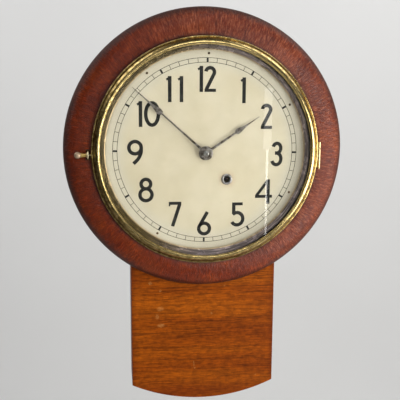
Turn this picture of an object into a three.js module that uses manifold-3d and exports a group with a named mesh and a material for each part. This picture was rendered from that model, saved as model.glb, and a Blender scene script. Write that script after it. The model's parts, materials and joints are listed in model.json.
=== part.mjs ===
// Schoolhouse wall clock: a turned wooden ring on a box case with a short drop, a hinged brass
// bezel, and an eight-day, time-only spring movement with a pendulum.
//
// Millimetres. Every piece is drawn as it is seen from the front: x to the right, y up and z
// towards the viewer, with z = 0 on the wall and the hands' axis at x = y = 0. The exported group
// turns that drawing frame so that up is +Z and the front faces -Y.

import * as THREE from "three";
import { mergeVertices } from "three/addons/utils/BufferGeometryUtils.js";
import Module from "manifold-3d";

const wasm = await Module();
wasm.setup();

// ---------------------------------------------------------------- driving dimensions

const RING = {
  radius: 215,
  y: 2.5, // the ring, bezel and glass are centred this far above the hands' axis
  seat: 164, // bore that takes the dial board and the dial
  rear: 70,
  dialSeat: 87.7,
  land: 96, // flat face that the bezel shuts on
  faceStart: 174, // radius where the rounded face begins
  edge: 72, // height of the rounded face's foot at the outer edge
};

const BOX = {
  halfWidth: 115,
  board: 10,
  top: 150,
  backThickness: 8,
  frontEdge: 62, // where the drop's front panel lies on the side boards
  panelTop: -165, // hidden behind the ring
  dropBottom: -408,
  dropRise: 26, // of the curved foot, from its corners to its lowest point
  bottomThickness: 9,
};
const INNER_HALF = BOX.halfWidth - BOX.board;

const DIAL = { radius: 162, front: 88.5, handHole: 5.5, windingHole: 6.3 };
const DIAL_BOARD_BORE = 100; // opening for the movement in the board that the dial is nailed to

const BEZEL = { radius: 172.5, rear: 96.3, wall: 1.2 };
const GLASS = { radius: 160.3, rear: 103, front: 105 };
const SIGHT = { dialRadius: 151.6, glassRadius: 158.4, rear: 89.6, front: 102.8, wall: 0.9 };

const HINGE = {
  x: 175,
  y: -3.6,
  z: 97.8,
  barrel: 1.7,
  bore: 1.05,
  pin: 0.9,
  half: 20,
  leafEdge: 163.6, // inner edge of the leaf that lies in the ring's mortise
  leafRear: 94.8,
  leafFront: 95.8,
  mortiseDepth: 94.6,
};
const LATCH = { y: -0.3, z: 99.2, stem: 1.2, reach: 19.6, ball: 5.1, cam: 6.2, camDepth: 5.2 };

const DOOR = { bottom: -345, top: -235, rear: 14, front: 56, gap: 0.5, bevel: 1.7 };
const DOOR_HINGE = { x: BOX.halfWidth + 2, z: 14.2, barrel: 2, half: 15, y: -290 };
const DOOR_KNOB_Z = 42;

const PLATES = { rear: 28, rearFront: 29.6, frontRear: 61.6, front: 63.2 };
const PLATE = { left: -30, right: 78, bottom: -86, top: 76, ear: 12 };

// Gear train: each module is shared by a wheel and the pinion it meshes with.
const MODULE = { great: 0.95, second: 0.75, third: 0.65, cannon: 0.75, hour: 0.8 };
const TEETH = {
  great: 80,
  secondPinion: 10,
  second: 72,
  center: 48,
  thirdPinion: 8,
  third: 84,
  escapePinion: 7,
  escape: 40,
  cannon: 12,
  minute: 36,
  minutePinion: 9,
  hour: 36,
};

const ESCAPE = { tip: 18, root: 15.6 };
const PENDULUM = { z: 17.5, length: 388, rod: 1.25, bobRadius: 35, bobHalf: 7 };

// Time shown at rest.
const HOUR = 1;
const MINUTE = 52;

const RING_SIDES = 52; // facets round the ring, dial, bezel and glass

const ARBOR_SIDES = 8; // facets round the movement's arbors

const ARBOR = 1.5; // radius of a train arbor
const PIVOT = 0.9; // radius of its pivots
const CENTER_PIVOT = 1.2;

const SEAT_GAP = 0.05; // between a shaft and a piece that is fixed on it
const RUNNING_GAP = 0.3; // between a shaft and a piece that turns on it
const LAY_GAP = 0.3; // between pieces that lie against each other

const radians = THREE.MathUtils.degToRad;
const polar = (radius, angle, x = 0, y = 0) =>
  new THREE.Vector2(x + radius * Math.cos(angle), y + radius * Math.sin(angle));

// ---------------------------------------------------------------- where the arbors stand

const centerDistance = (module, a, b) => (module * (a + b)) / 2;

// The point at distance ra from a and rb from b, on the left of the way from a to b.
function triangulate(a, ra, b, rb) {
  const way = b.clone().sub(a);
  const distance = way.length();
  const along = (ra * ra - rb * rb + distance * distance) / (2 * distance);
  const aside = Math.sqrt(ra * ra - along * along);
  way.divideScalar(distance);
  return a
    .clone()
    .addScaledVector(way, along)
    .addScaledVector(new THREE.Vector2(-way.y, way.x), aside);
}

const CENTER = new THREE.Vector2(0, 0);
const SECOND = new THREE.Vector2(centerDistance(MODULE.second, TEETH.center, TEETH.second), 0);
const GREAT = SECOND.clone().addScaledVector(
  new THREE.Vector2(-12, -41).normalize(),
  centerDistance(MODULE.great, TEETH.great, TEETH.secondPinion),
);
const ESCAPE_ARBOR = new THREE.Vector2(0, 32);
const THIRD = triangulate(
  ESCAPE_ARBOR,
  centerDistance(MODULE.third, TEETH.third, TEETH.escapePinion),
  SECOND,
  centerDistance(MODULE.second, TEETH.second, TEETH.thirdPinion),
);
const PALLETS = new THREE.Vector2(0, 58);
const MINUTE_STUD = polar(
  centerDistance(MODULE.cannon, TEETH.cannon, TEETH.minute),
  radians(135),
);
const PILLARS = [
  new THREE.Vector2(-24, 70),
  new THREE.Vector2(72, 70),
  new THREE.Vector2(-24, -80),
  new THREE.Vector2(72, -80),
];

// ---------------------------------------------------------------- geometry helpers

function solidOf(geometry) {
  const bare = geometry.clone();
  bare.deleteAttribute("normal");
  bare.deleteAttribute("uv");
  const merged = mergeVertices(bare, 1e-4);
  return new wasm.Manifold(
    new wasm.Mesh({
      numProp: 3,
      vertProperties: merged.attributes.position.array,
      triVerts: new Uint32Array(merged.index.array),
    }),
  );
}

function geometryOf(solid) {
  const mesh = solid.getMesh();
  const geometry = new THREE.BufferGeometry();
  geometry.setAttribute("position", new THREE.BufferAttribute(mesh.vertProperties, 3));
  geometry.setIndex(new THREE.BufferAttribute(mesh.triVerts, 1));
  return geometry;
}

const join = (...pieces) => geometryOf(pieces.map(solidOf).reduce((a, b) => a.add(b)));

const cut = (piece, ...cutters) =>
  geometryOf(cutters.map(solidOf).reduce((a, b) => a.subtract(b), solidOf(piece)));

function box(left, right, bottom, top, rear, front) {
  return new THREE.BoxGeometry(right - left, top - bottom, front - rear).translate(
    (left + right) / 2,
    (bottom + top) / 2,
    (rear + front) / 2,
  );
}

// A flat piece with the given outline and holes, each a list of points.
function plate(outline, rear, front, holes = []) {
  const shape = new THREE.Shape(outline);
  shape.holes = holes.map((points) => new THREE.Path(points));
  const geometry = new THREE.ExtrudeGeometry(shape, {
    depth: front - rear,
    bevelEnabled: false,
  });
  return geometry.translate(0, 0, rear);
}

// Points round an arc, both ends included.
function arc(radius, from, to, steps, x = 0, y = 0) {
  return Array.from({ length: steps + 1 }, (_, i) =>
    polar(radius, from + ((to - from) * i) / steps, x, y),
  );
}

// Points round a whole circle.
const circle = (radius, sides, x = 0, y = 0) =>
  arc(radius, 0, 2 * Math.PI, sides, x, y).slice(0, sides);

// A piece turned about the z axis through (x, y). The profile's points are [radius, z].
function turned(profile, sides, x = 0, y = 0) {
  const points = profile.map(([radius, z]) => new THREE.Vector2(radius, z));
  const geometry = new THREE.LatheGeometry(points, sides);
  return geometry.rotateX(Math.PI / 2).rotateZ(Math.PI / 2).translate(x, y, 0);
}

const rod = (radius, rear, front, sides, x = 0, y = 0) =>
  plate(circle(radius, sides, x, y), rear, front);

// A rod along the drawing's y axis, through (x, z).
const uprightRod = (radius, bottom, top, sides, x, z) =>
  rod(radius, bottom, top, sides).rotateX(-Math.PI / 2).translate(x, 0, z);

const rectangle = (left, right, bottom, top) => [
  new THREE.Vector2(left, bottom),
  new THREE.Vector2(right, bottom),
  new THREE.Vector2(right, top),
  new THREE.Vector2(left, top),
];

// ---------------------------------------------------------------- materials and nodes

const COLOURS = {
  ring: 0x6f2f1c,
  drop: 0x98501f,
  oak: 0x7b5532,
  brass: 0xb08d4c,
  agedBrass: 0x8f733f,
  nickel: 0x7d7674,
  steel: 0x70706e,
  blued: 0x55565a,
  dial: 0xe3d8b8,
  glass: 0xe8f0f0,
};
const wood = (color) => new THREE.MeshStandardMaterial({ color, roughness: 0.45, metalness: 0 });
const metal = (color, roughness = 0.35) =>
  new THREE.MeshStandardMaterial({ color, roughness, metalness: 1 });
const paint = (color) => new THREE.MeshStandardMaterial({ color, roughness: 0.55, metalness: 0 });
const clear = () =>
  new THREE.MeshStandardMaterial({
    color: COLOURS.glass,
    roughness: 0.05,
    metalness: 0,
    transparent: true,
    opacity: 0.3,
  });

const clock = new THREE.Group();
clock.rotation.x = Math.PI / 2;

function node(name, material, geometry) {
  const mesh = new THREE.Mesh(geometry, material);
  mesh.name = name;
  clock.add(mesh);
}

// ---------------------------------------------------------------- case

// The curved foot of the drop is an arc through its two corners and its lowest point.
const FOOT_RADIUS =
  (BOX.halfWidth * BOX.halfWidth + BOX.dropRise * BOX.dropRise) / (2 * BOX.dropRise);
const FOOT_CENTRE = BOX.dropBottom + FOOT_RADIUS;

// Points along the foot from x = from to x = to, on a circle inset from the outside.
function foot(from, to, steps, inset = 0) {
  const radius = FOOT_RADIUS - inset;
  const angleAt = (x) => -Math.acos(x / radius);
  return arc(radius, angleAt(from), angleAt(to), steps, 0, FOOT_CENTRE);
}

function makeBackboard() {
  const outline = [
    new THREE.Vector2(INNER_HALF, BOX.top),
    new THREE.Vector2(-INNER_HALF, BOX.top),
    ...foot(-INNER_HALF, INNER_HALF, 16),
  ];
  node(
    "backboard",
    wood(COLOURS.oak),
    cut(plate(outline, 0, BOX.backThickness), hangerRecess()),
  );
}

// A side board runs from the curved foot to the top, and its front edge is stepped back below the
// ring for the drop's front panel.
function sideBoard(side) {
  const outline = [
    ...foot(side * BOX.halfWidth, side * INNER_HALF, 1),
    new THREE.Vector2(side * INNER_HALF, BOX.top),
    new THREE.Vector2(side * BOX.halfWidth, BOX.top),
  ];
  const [left, right] = [side * INNER_HALF, side * BOX.halfWidth].sort((a, b) => a - b);
  return join(
    plate(outline, 0, BOX.frontEdge),
    box(left, right, BOX.panelTop, BOX.top, BOX.frontEdge, RING.rear),
  );
}

function makeSideBoards() {
  node("left_side_board", wood(COLOURS.drop), sideBoard(-1));
  const doorway = box(
    INNER_HALF - 1,
    BOX.halfWidth + 1,
    DOOR.bottom,
    DOOR.top,
    DOOR.rear,
    DOOR.front,
  );
  node("right_side_board", wood(COLOURS.drop), cut(sideBoard(1), doorway));
}

function makeTopBoard() {
  const board = box(
    -BOX.halfWidth,
    BOX.halfWidth,
    BOX.top,
    BOX.top + BOX.board,
    0,
    RING.rear,
  );
  node("top_board", wood(COLOURS.drop), cut(board, hangerRecess()));
}

function makeBottomBoard() {
  const outline = [
    ...foot(-INNER_HALF, INNER_HALF, 16),
    ...foot(INNER_HALF, -INNER_HALF, 16, BOX.bottomThickness),
  ];
  node("bottom_board", wood(COLOURS.drop), plate(outline, BOX.backThickness, BOX.frontEdge));
}

function makeDropFrontPanel() {
  const outline = [
    new THREE.Vector2(BOX.halfWidth, BOX.panelTop),
    new THREE.Vector2(-BOX.halfWidth, BOX.panelTop),
    ...foot(-BOX.halfWidth, BOX.halfWidth, 20),
  ];
  node("drop_front_panel", wood(COLOURS.drop), plate(outline, BOX.frontEdge, RING.rear));
}

// The ring's face is a quarter of an ellipse that falls from the bezel's land to the outer edge.
// A flat board closed in behind the dial fills its bore, but for an opening for the movement.
function makeWoodRing() {
  const faceSteps = 6;
  const face = Array.from({ length: faceSteps + 1 }, (_, i) => {
    const angle = (Math.PI / 2) * (1 - i / faceSteps);
    return [
      RING.faceStart + (RING.radius - RING.faceStart) * Math.cos(angle),
      RING.edge + (RING.land - RING.edge) * Math.sin(angle),
    ];
  });
  const profile = [
    [RING.seat, RING.rear],
    [RING.radius - 2, RING.rear],
    ...face.reverse(),
    [RING.seat, RING.land],
    [RING.seat, RING.rear],
  ];
  const hingeMortise = box(
    HINGE.leafEdge - 0.6,
    HINGE.x + HINGE.barrel + 0.7,
    HINGE.y - HINGE.half - 0.8,
    HINGE.y + HINGE.half + 0.8,
    HINGE.mortiseDepth,
    RING.land + 3,
  );
  const ring = turned(profile, RING_SIDES, 0, RING.y);
  node("wood_ring", wood(COLOURS.ring), cut(ring, hingeMortise, strikePocket()));

  const board = circle(RING.seat - LAY_GAP, RING_SIDES, 0, RING.y);
  const opening = circle(DIAL_BOARD_BORE, RING_SIDES, 0, RING.y);
  node("dial_board", wood(COLOURS.oak), plate(board, RING.rear, RING.dialSeat, [opening]));
}

// ---- Hanger: a steel strap let into the back, with a keyhole above the box for the wall hook.
const HANGER = { half: 14, bottom: 118, top: 184, thickness: 2, holeY: 171, hole: 4.5, slot: 2.4 };

const hangerRecess = () =>
  box(
    -HANGER.half - LAY_GAP,
    HANGER.half + LAY_GAP,
    HANGER.bottom - LAY_GAP,
    BOX.top + BOX.board + 1,
    -1,
    HANGER.thickness + LAY_GAP,
  );

function makeHangerPlate() {
  const crown = HANGER.top - HANGER.half;
  const outline = [
    new THREE.Vector2(-HANGER.half, HANGER.bottom),
    new THREE.Vector2(HANGER.half, HANGER.bottom),
    ...arc(HANGER.half, 0, Math.PI, 10, 0, crown),
  ];
  const slotAngle = Math.acos(HANGER.slot / HANGER.hole);
  const keyhole = [
    ...arc(HANGER.hole, Math.PI - slotAngle, 2 * Math.PI + slotAngle, 12, 0, HANGER.holeY),
    ...arc(HANGER.slot, 0, Math.PI, 6, 0, HANGER.holeY + 7),
  ];
  node("hanger_plate", metal(COLOURS.steel, 0.5), plate(outline, 0, HANGER.thickness, [keyhole]));
}

function makeMovementBlocks() {
  const blocks = {
    movement_block_left: [PLATE.left - PLATE.ear, PLATE.left + 2],
    movement_block_right: [PLATE.right - 4, PLATE.right + PLATE.ear - 2],
  };
  for (const [name, [left, right]] of Object.entries(blocks)) {
    const block = box(left, right, PLATE.bottom, PLATE.top, BOX.backThickness, PLATES.rear);
    node(name, wood(COLOURS.oak), block);
  }
}

// ---------------------------------------------------------------- side door of the drop

function makeSideDoor() {
  const { bottom, top, rear, front, gap, bevel } = DOOR;
  // Seen from above, with the depth running down; the free edge is bevelled to clear the doorway.
  const outline = [
    new THREE.Vector2(INNER_HALF, -(front - gap - bevel)),
    new THREE.Vector2(BOX.halfWidth, -(front - gap)),
    new THREE.Vector2(BOX.halfWidth, -(rear + gap)),
    new THREE.Vector2(INNER_HALF, -(rear + gap)),
  ];
  const leaf = plate(outline, bottom + gap, top - gap).rotateX(-Math.PI / 2);
  node("side_door", wood(COLOURS.drop), leaf);

  const knob = turned(
    [
      [0, 0.2],
      [3, 0.2],
      [2, 1.6],
      [2, 2.4],
      [4.2, 3.4],
      [3.8, 4.5],
      [0, 5],
    ],
    16,
  );
  knob.rotateY(Math.PI / 2).translate(BOX.halfWidth, DOOR_HINGE.y, DOOR_KNOB_Z);
  node("side_door_knob", metal(COLOURS.brass), knob);
}

// The frame leaf carries the outer knuckles and the pin, and the door leaf the middle knuckle.
function makeSideDoorHinge() {
  const { x, z, barrel, half, y } = DOOR_HINGE;
  const knuckle = half / 3;
  const leafFace = BOX.halfWidth + 0.1;
  const knuckles = (from, to) => uprightRod(barrel, y + from, y + to, 12, x, z);
  const frameLeaf = join(
    box(leafFace, leafFace + 1, y - half, y + half, 3, z - barrel - 0.4),
    box(leafFace, leafFace + 1, y - half, y - knuckle, z - barrel - 0.5, z),
    box(leafFace, leafFace + 1, y + knuckle, y + half, z - barrel - 0.5, z),
    knuckles(-half, -knuckle),
    knuckles(knuckle, half),
    uprightRod(HINGE.pin, y - half, y + half, 12, x, z),
  );
  node("side_door_frame_leaf", metal(COLOURS.brass), frameLeaf);
  const doorLeaf = join(
    box(leafFace, leafFace + 1, y - half, y + half, z + barrel + 0.4, 25),
    box(leafFace, leafFace + 1, y - knuckle + 0.3, y + knuckle - 0.3, z, z + barrel + 0.5),
    knuckles(-knuckle + 0.3, knuckle - 0.3),
  );
  const bore = uprightRod(HINGE.bore, y - half, y + half, 12, x, z);
  node("side_door_leaf", metal(COLOURS.brass), cut(doorLeaf, bore));
}

// ---------------------------------------------------------------- dial

function makeDial() {
  const outline = circle(DIAL.radius, RING_SIDES, 0, RING.y);
  const holes = [
    circle(DIAL.handHole, 20),
    circle(DIAL.windingHole, 20, GREAT.x, GREAT.y),
  ];
  node("dial_plate", paint(COLOURS.dial), plate(outline, RING.dialSeat, DIAL.front, holes));

  const grommet = turned(
    [
      [4.7, 86.4],
      [6, 86.4],
      [6, DIAL.front],
      [8.6, DIAL.front],
      [8.2, 89.6],
      [6.8, 90.2],
      [4.7, 89.8],
      [4.7, 86.4],
    ],
    20,
    GREAT.x,
    GREAT.y,
  );
  node("winding_grommet", metal(COLOURS.nickel), grommet);
}

// ---------------------------------------------------------------- bezel, glass, hinge and latch

// Stamped sheet: a rim that stands on the ring, a small outer bead, a convex slope and a rounded
// inner crest that turns down on to the glass. The inside follows the outside.
function makeBezelRing() {
  const outside = [
    [BEZEL.radius, BEZEL.rear],
    [BEZEL.radius, 99.6],
    [171.8, 100.8],
    [170.6, 101.2],
    [169.6, 100.9],
    [168.5, 102.8],
    [166.4, 106],
    [164.2, 107.9],
    [162.3, 108.4],
    [160.5, 107.6],
    [159.3, 105.3],
  ];
  const inside = [
    [160.6, 105.3],
    [162.3, 107.2],
    [165.4, 105.2],
    [168.7, 99.8],
    [BEZEL.radius - BEZEL.wall, 99.6],
    [BEZEL.radius - BEZEL.wall, BEZEL.rear],
  ];
  const profile = [...outside, ...inside, outside[0]];
  const notchHalf = HINGE.half / 2 + 0.3;
  const leafNotch = box(
    BEZEL.radius - 4,
    BEZEL.radius + 1,
    HINGE.y - notchHalf,
    HINGE.y + notchHalf,
    BEZEL.rear - 1,
    HINGE.z,
  );
  const stemHole = rod(LATCH.stem + 0.2, 0, 5, 12)
    .rotateY(Math.PI / 2)
    .translate(-BEZEL.radius - 1.5, LATCH.y, LATCH.z);
  const stamping = turned(profile, RING_SIDES, 0, RING.y);
  node("bezel_ring", metal(COLOURS.brass, 0.22), cut(stamping, leafNotch, stemHole));
}

// The conical ring inside the bezel that holds the glass and hides the dial's edge.
function makeSightRing() {
  const { dialRadius, glassRadius, rear, front, wall } = SIGHT;
  const profile = [
    [163.5, front],
    [glassRadius, front],
    [dialRadius, rear],
    [dialRadius + wall + 0.1, rear],
    [glassRadius + wall, front - wall],
    [163.5, front - wall],
    [163.5, front],
  ];
  node("sight_ring", metal(COLOURS.nickel, 0.5), turned(profile, RING_SIDES, 0, RING.y));
}

function makeGlass() {
  const profile = [
    [0, GLASS.rear],
    [GLASS.radius, GLASS.rear],
    [GLASS.radius, GLASS.front],
    [0, GLASS.front],
  ];
  node("glass", clear(), turned(profile, RING_SIDES, 0, RING.y));
}

// The case leaf lies in the ring's mortise and carries the outer knuckles; the bezel leaf carries
// the middle one.
function makeBezelHinge() {
  const { x, y, z, barrel, bore, pin, half, leafEdge, leafRear, leafFront } = HINGE;
  const middle = half / 2;
  const low = y - half;
  const high = y + half;
  const middleLow = y - middle;
  const middleHigh = y + middle;
  const knuckles = (from, to) => uprightRod(barrel, from, to, 16, x, z);
  const pinHole = uprightRod(bore, low - 1, high + 1, 12, x, z);
  const caseLeaf = cut(
    join(
      box(leafEdge, x, low, high, leafRear, leafFront),
      box(x - barrel, x, low, middleLow, leafFront - 0.1, z),
      box(x - barrel, x, middleHigh, high, leafFront - 0.1, z),
      knuckles(low, middleLow),
      knuckles(middleHigh, high),
    ),
    pinHole,
  );
  node("case_hinge_leaf", metal(COLOURS.brass), caseLeaf);

  const bezelLeaf = cut(
    join(
      box(leafEdge + 0.9, x, middleLow + 0.4, middleHigh - 0.4, z - 0.9, z),
      knuckles(middleLow + 0.4, middleHigh - 0.4),
    ),
    pinHole,
  );
  node("bezel_hinge_leaf", metal(COLOURS.brass), bezelLeaf);

  const pinWithHead = join(
    uprightRod(pin, low - 0.8, high, 12, x, z),
    uprightRod(barrel, low - 2, low - 0.5, 12, x, z),
  );
  node("bezel_hinge_pin", metal(COLOURS.brass), pinWithHead);
}

const STRIKE = {
  left: -BEZEL.radius - 7.4,
  right: -BEZEL.radius - 1.4,
  base: 91,
  ear: 6.6,
  earThickness: 1,
  top: 99.2,
};

const strikePocket = () =>
  box(
    STRIKE.left - 0.6,
    STRIKE.right + 0.6,
    LATCH.y - STRIKE.ear - STRIKE.earThickness - 0.4,
    LATCH.y + STRIKE.ear + STRIKE.earThickness + 0.4,
    STRIKE.base,
    RING.land + 4,
  );

// A ball knob on a stem through the bezel's rim, with an oval cam that a spring clip on the case
// grips: tall across the clip when latched, and loose when turned a quarter.
function makeLatch() {
  const { y, z, stem, reach, ball, cam, camDepth } = LATCH;
  const ballArc = Array.from({ length: 7 }, (_, i) => {
    const angle = Math.PI - (i * radians(138)) / 6;
    return [ball * Math.sin(angle), ball * Math.cos(angle) - reach];
  });
  const profile = [
    ...ballArc,
    [3.5, -13.6],
    [3, -11],
    [2.7, -7.7],
    [3.4, -6.7],
    [4.9, -5.3],
    [4.9, -5],
    [stem, -4.9],
    [stem, 3.4],
    [0, 3.4],
  ];
  profile[0][0] = 0;
  const onRim = (piece) => piece.rotateY(Math.PI / 2).translate(-BEZEL.radius, y, z);
  const knob = onRim(turned(profile, 16));
  const camDisc = onRim(plate(circle(1, 20), -5.2, -3.6).scale(camDepth, cam, 1));
  node("latch_knob", metal(COLOURS.brass), join(knob, camDisc));

  const { left, right, base, ear, earThickness, top } = STRIKE;
  const low = y - ear;
  const high = y + ear;
  const clipRear = base + 0.1;
  const clip = join(
    box(left, right, low - earThickness, high + earThickness, clipRear, clipRear + 0.8),
    box(left, right, high, high + earThickness, clipRear, top),
    box(left, right, low - earThickness, low, clipRear, top),
  );
  node("latch_strike", metal(COLOURS.agedBrass), clip);
}

// ---------------------------------------------------------------- movement frame

// Left, right, bottom and top of each opening sawn in the plates.
const PLATE_WINDOWS = [
  [-22, -8, -66, -12],
  [-22, -10, 24, 62],
  [14, 62, 54, 66],
  [58, 70, 14, 44],
];

// A plate with a pivot hole for each arbor, drilled to suit its pivot, and cut-out windows.
function movementPlate(left, right, rear, front, pivots) {
  const holes = [
    ...pivots.map(([at, radius]) => circle(radius, 8, at.x, at.y)),
    ...PLATE_WINDOWS.map((sides) => rectangle(...sides)),
  ];
  return plate(rectangle(left, right, PLATE.bottom, PLATE.top), rear, front, holes);
}

const WINDING_ARBOR = { rearPivot: 2, body: 3, square: 4.2, front: 86 };
const PALLET_ARBOR = 1.2;

function makePlates() {
  const trainPivots = [SECOND, THIRD, ESCAPE_ARBOR].map((at) => [at, PIVOT + RUNNING_GAP / 2]);
  const back = movementPlate(
    PLATE.left - PLATE.ear,
    PLATE.right + PLATE.ear - 2,
    PLATES.rear,
    PLATES.rearFront,
    [
      ...trainPivots,
      [CENTER, CENTER_PIVOT + RUNNING_GAP / 2],
      [GREAT, WINDING_ARBOR.rearPivot + RUNNING_GAP],
      [PALLETS, PALLET_ARBOR + RUNNING_GAP],
    ],
  );
  node("back_plate", metal(COLOURS.agedBrass), back);
  const front = movementPlate(PLATE.left, PLATE.right, PLATES.frontRear, PLATES.front, [
    ...trainPivots,
    [CENTER, ARBOR + RUNNING_GAP],
    [GREAT, WINDING_ARBOR.body + RUNNING_GAP],
    [PALLETS, PIVOT + RUNNING_GAP / 2],
  ]);
  node("front_plate", metal(COLOURS.agedBrass), front);
}

function makePillars() {
  PILLARS.forEach((at, i) => {
    const rear = PLATES.rearFront;
    const front = PLATES.frontRear;
    const profile = [
      [0, rear],
      [3.8, rear],
      [3.8, rear + 3],
      [2.6, rear + 6],
      [2.6, front - 6],
      [3.8, front - 3],
      [3.8, front],
      [0, front],
    ];
    node(`pillar_${i + 1}`, metal(COLOURS.agedBrass), turned(profile, 12, at.x, at.y));
  });
}

// The cock stands on the back plate's rear face, and its slit holds the suspension spring.
function makeSuspensionCock() {
  const solid = join(
    box(-9, 9, 61.5, 74, PLATES.rear - 2, PLATES.rear),
    box(-3.5, 3.5, 61.5, 69, 12, PLATES.rear - 1),
  );
  node("suspension_cock", metal(COLOURS.agedBrass), cut(solid, box(-0.9, 0.9, 60, 66.5, 11, 21)));
}

// ---------------------------------------------------------------- gears

// A toothed outline with pointed teeth, slimmer than their spaces, so a pair runs with backlash.
const ADDENDUM = 0.95;
const DEDENDUM = 1.2;

function gearOutline(teeth, module, phase, at) {
  const pitchRadius = (module * teeth) / 2;
  const tip = pitchRadius + ADDENDUM * module;
  const root = pitchRadius - DEDENDUM * module;
  const step = (2 * Math.PI) / teeth;
  const rootHalf = 0.27 * step;
  return Array.from({ length: teeth }, (_, i) => {
    const middle = phase + i * step;
    return [
      polar(root, middle - rootHalf, at.x, at.y),
      polar(tip, middle, at.x, at.y),
      polar(root, middle + rootHalf, at.x, at.y),
    ];
  }).flat();
}

// The phase that puts a space of the driven gear over each tooth of its driver.
function meshPhase(driver, driverTeeth, driverPhase, driven, drivenTeeth) {
  const way = Math.atan2(driven.y - driver.y, driven.x - driver.x);
  return way + Math.PI + ((way - driverPhase) * driverTeeth - Math.PI) / drivenTeeth;
}

const PHASE = {};
PHASE.great = 0;
PHASE.secondPinion = meshPhase(GREAT, TEETH.great, PHASE.great, SECOND, TEETH.secondPinion);
PHASE.second = 0;
PHASE.center = meshPhase(SECOND, TEETH.second, PHASE.second, CENTER, TEETH.center);
PHASE.thirdPinion = meshPhase(SECOND, TEETH.second, PHASE.second, THIRD, TEETH.thirdPinion);
PHASE.third = 0;
PHASE.escapePinion = meshPhase(
  THIRD,
  TEETH.third,
  PHASE.third,
  ESCAPE_ARBOR,
  TEETH.escapePinion,
);
PHASE.cannon = 0;
PHASE.minute = meshPhase(CENTER, TEETH.cannon, PHASE.cannon, MINUTE_STUD, TEETH.minute);
PHASE.minutePinion = 0;
PHASE.hour = meshPhase(
  MINUTE_STUD,
  TEETH.minutePinion,
  PHASE.minutePinion,
  CENTER,
  TEETH.hour,
);

// Windows between a wheel's arms.
function crossings(at, hub, rim, arms, armHalf) {
  return Array.from({ length: arms }, (_, i) => {
    const from = (i * 2 * Math.PI) / arms;
    const to = ((i + 1) * 2 * Math.PI) / arms;
    const rimTrim = Math.asin(armHalf / rim);
    const hubTrim = Math.asin(armHalf / hub);
    return [
      ...arc(rim, from + rimTrim, to - rimTrim, 4, at.x, at.y),
      ...arc(hub, to - hubTrim, from + hubTrim, 2, at.x, at.y),
    ];
  });
}

// A train arbor with a pivot at each end and its pinion.
function trainArbor(at, teeth, module, phase, pinionRear, pinionFront) {
  const shoulder = 0.4;
  const shaft = turned(
    [
      [0, PLATES.rear],
      [PIVOT, PLATES.rear],
      [PIVOT, PLATES.rearFront + shoulder],
      [ARBOR, PLATES.rearFront + shoulder],
      [ARBOR, PLATES.frontRear - shoulder],
      [PIVOT, PLATES.frontRear - shoulder],
      [PIVOT, PLATES.front],
      [0, PLATES.front],
    ],
    ARBOR_SIDES,
    at.x,
    at.y,
  );
  return join(shaft, plate(gearOutline(teeth, module, phase, at), pinionRear, pinionFront));
}

// A crossed-out wheel on a collet, bored for its arbor.
function trainWheel(at, teeth, module, phase, rear, arbor = ARBOR) {
  const thickness = 1.2;
  const rim = (module * teeth) / 2 - 4;
  const wheel = join(
    plate(
      gearOutline(teeth, module, phase, at),
      rear,
      rear + thickness,
      crossings(at, 5.5, rim, 4, 1.6),
    ),
    rod(4, rear - 2.5, rear + 0.1, ARBOR_SIDES, at.x, at.y),
  );
  return cut(wheel, rod(arbor + SEAT_GAP, rear - 4, rear + 4, ARBOR_SIDES, at.x, at.y));
}

// ---- Great wheel, its click work, the winding arbor and the mainspring

const RATCHET = { teeth: 12, tip: 12, root: 9.8, phase: radians(92), rear: 32.6, front: 34.2 };
const CLICK_PIVOT = new THREE.Vector2(GREAT.x + 15, GREAT.y + 14);
const GREAT_WHEEL = { rear: 35, front: 37 };

function makeGreatWheel() {
  const outline = gearOutline(TEETH.great, MODULE.great, PHASE.great, GREAT);
  const bore = circle(WINDING_ARBOR.body + RUNNING_GAP, ARBOR_SIDES, GREAT.x, GREAT.y);
  const web = Array.from({ length: 5 }, (_, i) => {
    const middle = polar(26, radians(90 + 72 * i), GREAT.x, GREAT.y);
    return circle(5, 8, middle.x, middle.y);
  });
  const { rear, front } = GREAT_WHEEL;
  const wheel = join(
    plate(outline, rear, front, [bore, ...web]),
    rod(1.1, RATCHET.rear - 0.4, rear + 0.1, 12, CLICK_PIVOT.x, CLICK_PIVOT.y),
  );
  node("great_wheel", metal(COLOURS.agedBrass), wheel);
}

function makeClick() {
  const near = (x, y) => new THREE.Vector2(GREAT.x + x, GREAT.y + y);
  const outline = [
    near(0.2, 10.3),
    near(3, 12),
    near(13.5, 11.2),
    ...arc(3.2, radians(-90), radians(95), 6, CLICK_PIVOT.x, CLICK_PIVOT.y),
    near(7, 16.4),
    near(0.2, 14),
  ];
  const hole = circle(1.1 + RUNNING_GAP, 12, CLICK_PIVOT.x, CLICK_PIVOT.y);
  node("click", metal(COLOURS.steel), plate(outline, RATCHET.rear, RATCHET.front, [hole]));
}

// A bent wire from the great wheel's face that presses the click into the ratchet.
function makeClickSpring() {
  const middle = (RATCHET.rear + RATCHET.front) / 2;
  const way = new THREE.CatmullRomCurve3([
    new THREE.Vector3(GREAT.x - 18, GREAT.y + 3, middle + 0.6),
    new THREE.Vector3(GREAT.x - 18, GREAT.y + 6, middle),
    new THREE.Vector3(GREAT.x - 14, GREAT.y + 15, middle),
    new THREE.Vector3(GREAT.x - 4, GREAT.y + 19.2, middle),
    new THREE.Vector3(GREAT.x + 6, GREAT.y + 17.6, middle),
  ]);
  const section = new THREE.Shape(circle(0.55, 6));
  const wire = new THREE.ExtrudeGeometry(section, {
    extrudePath: way,
    steps: 12,
    bevelEnabled: false,
  });
  node("click_spring", metal(COLOURS.steel), wire);
}

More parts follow.
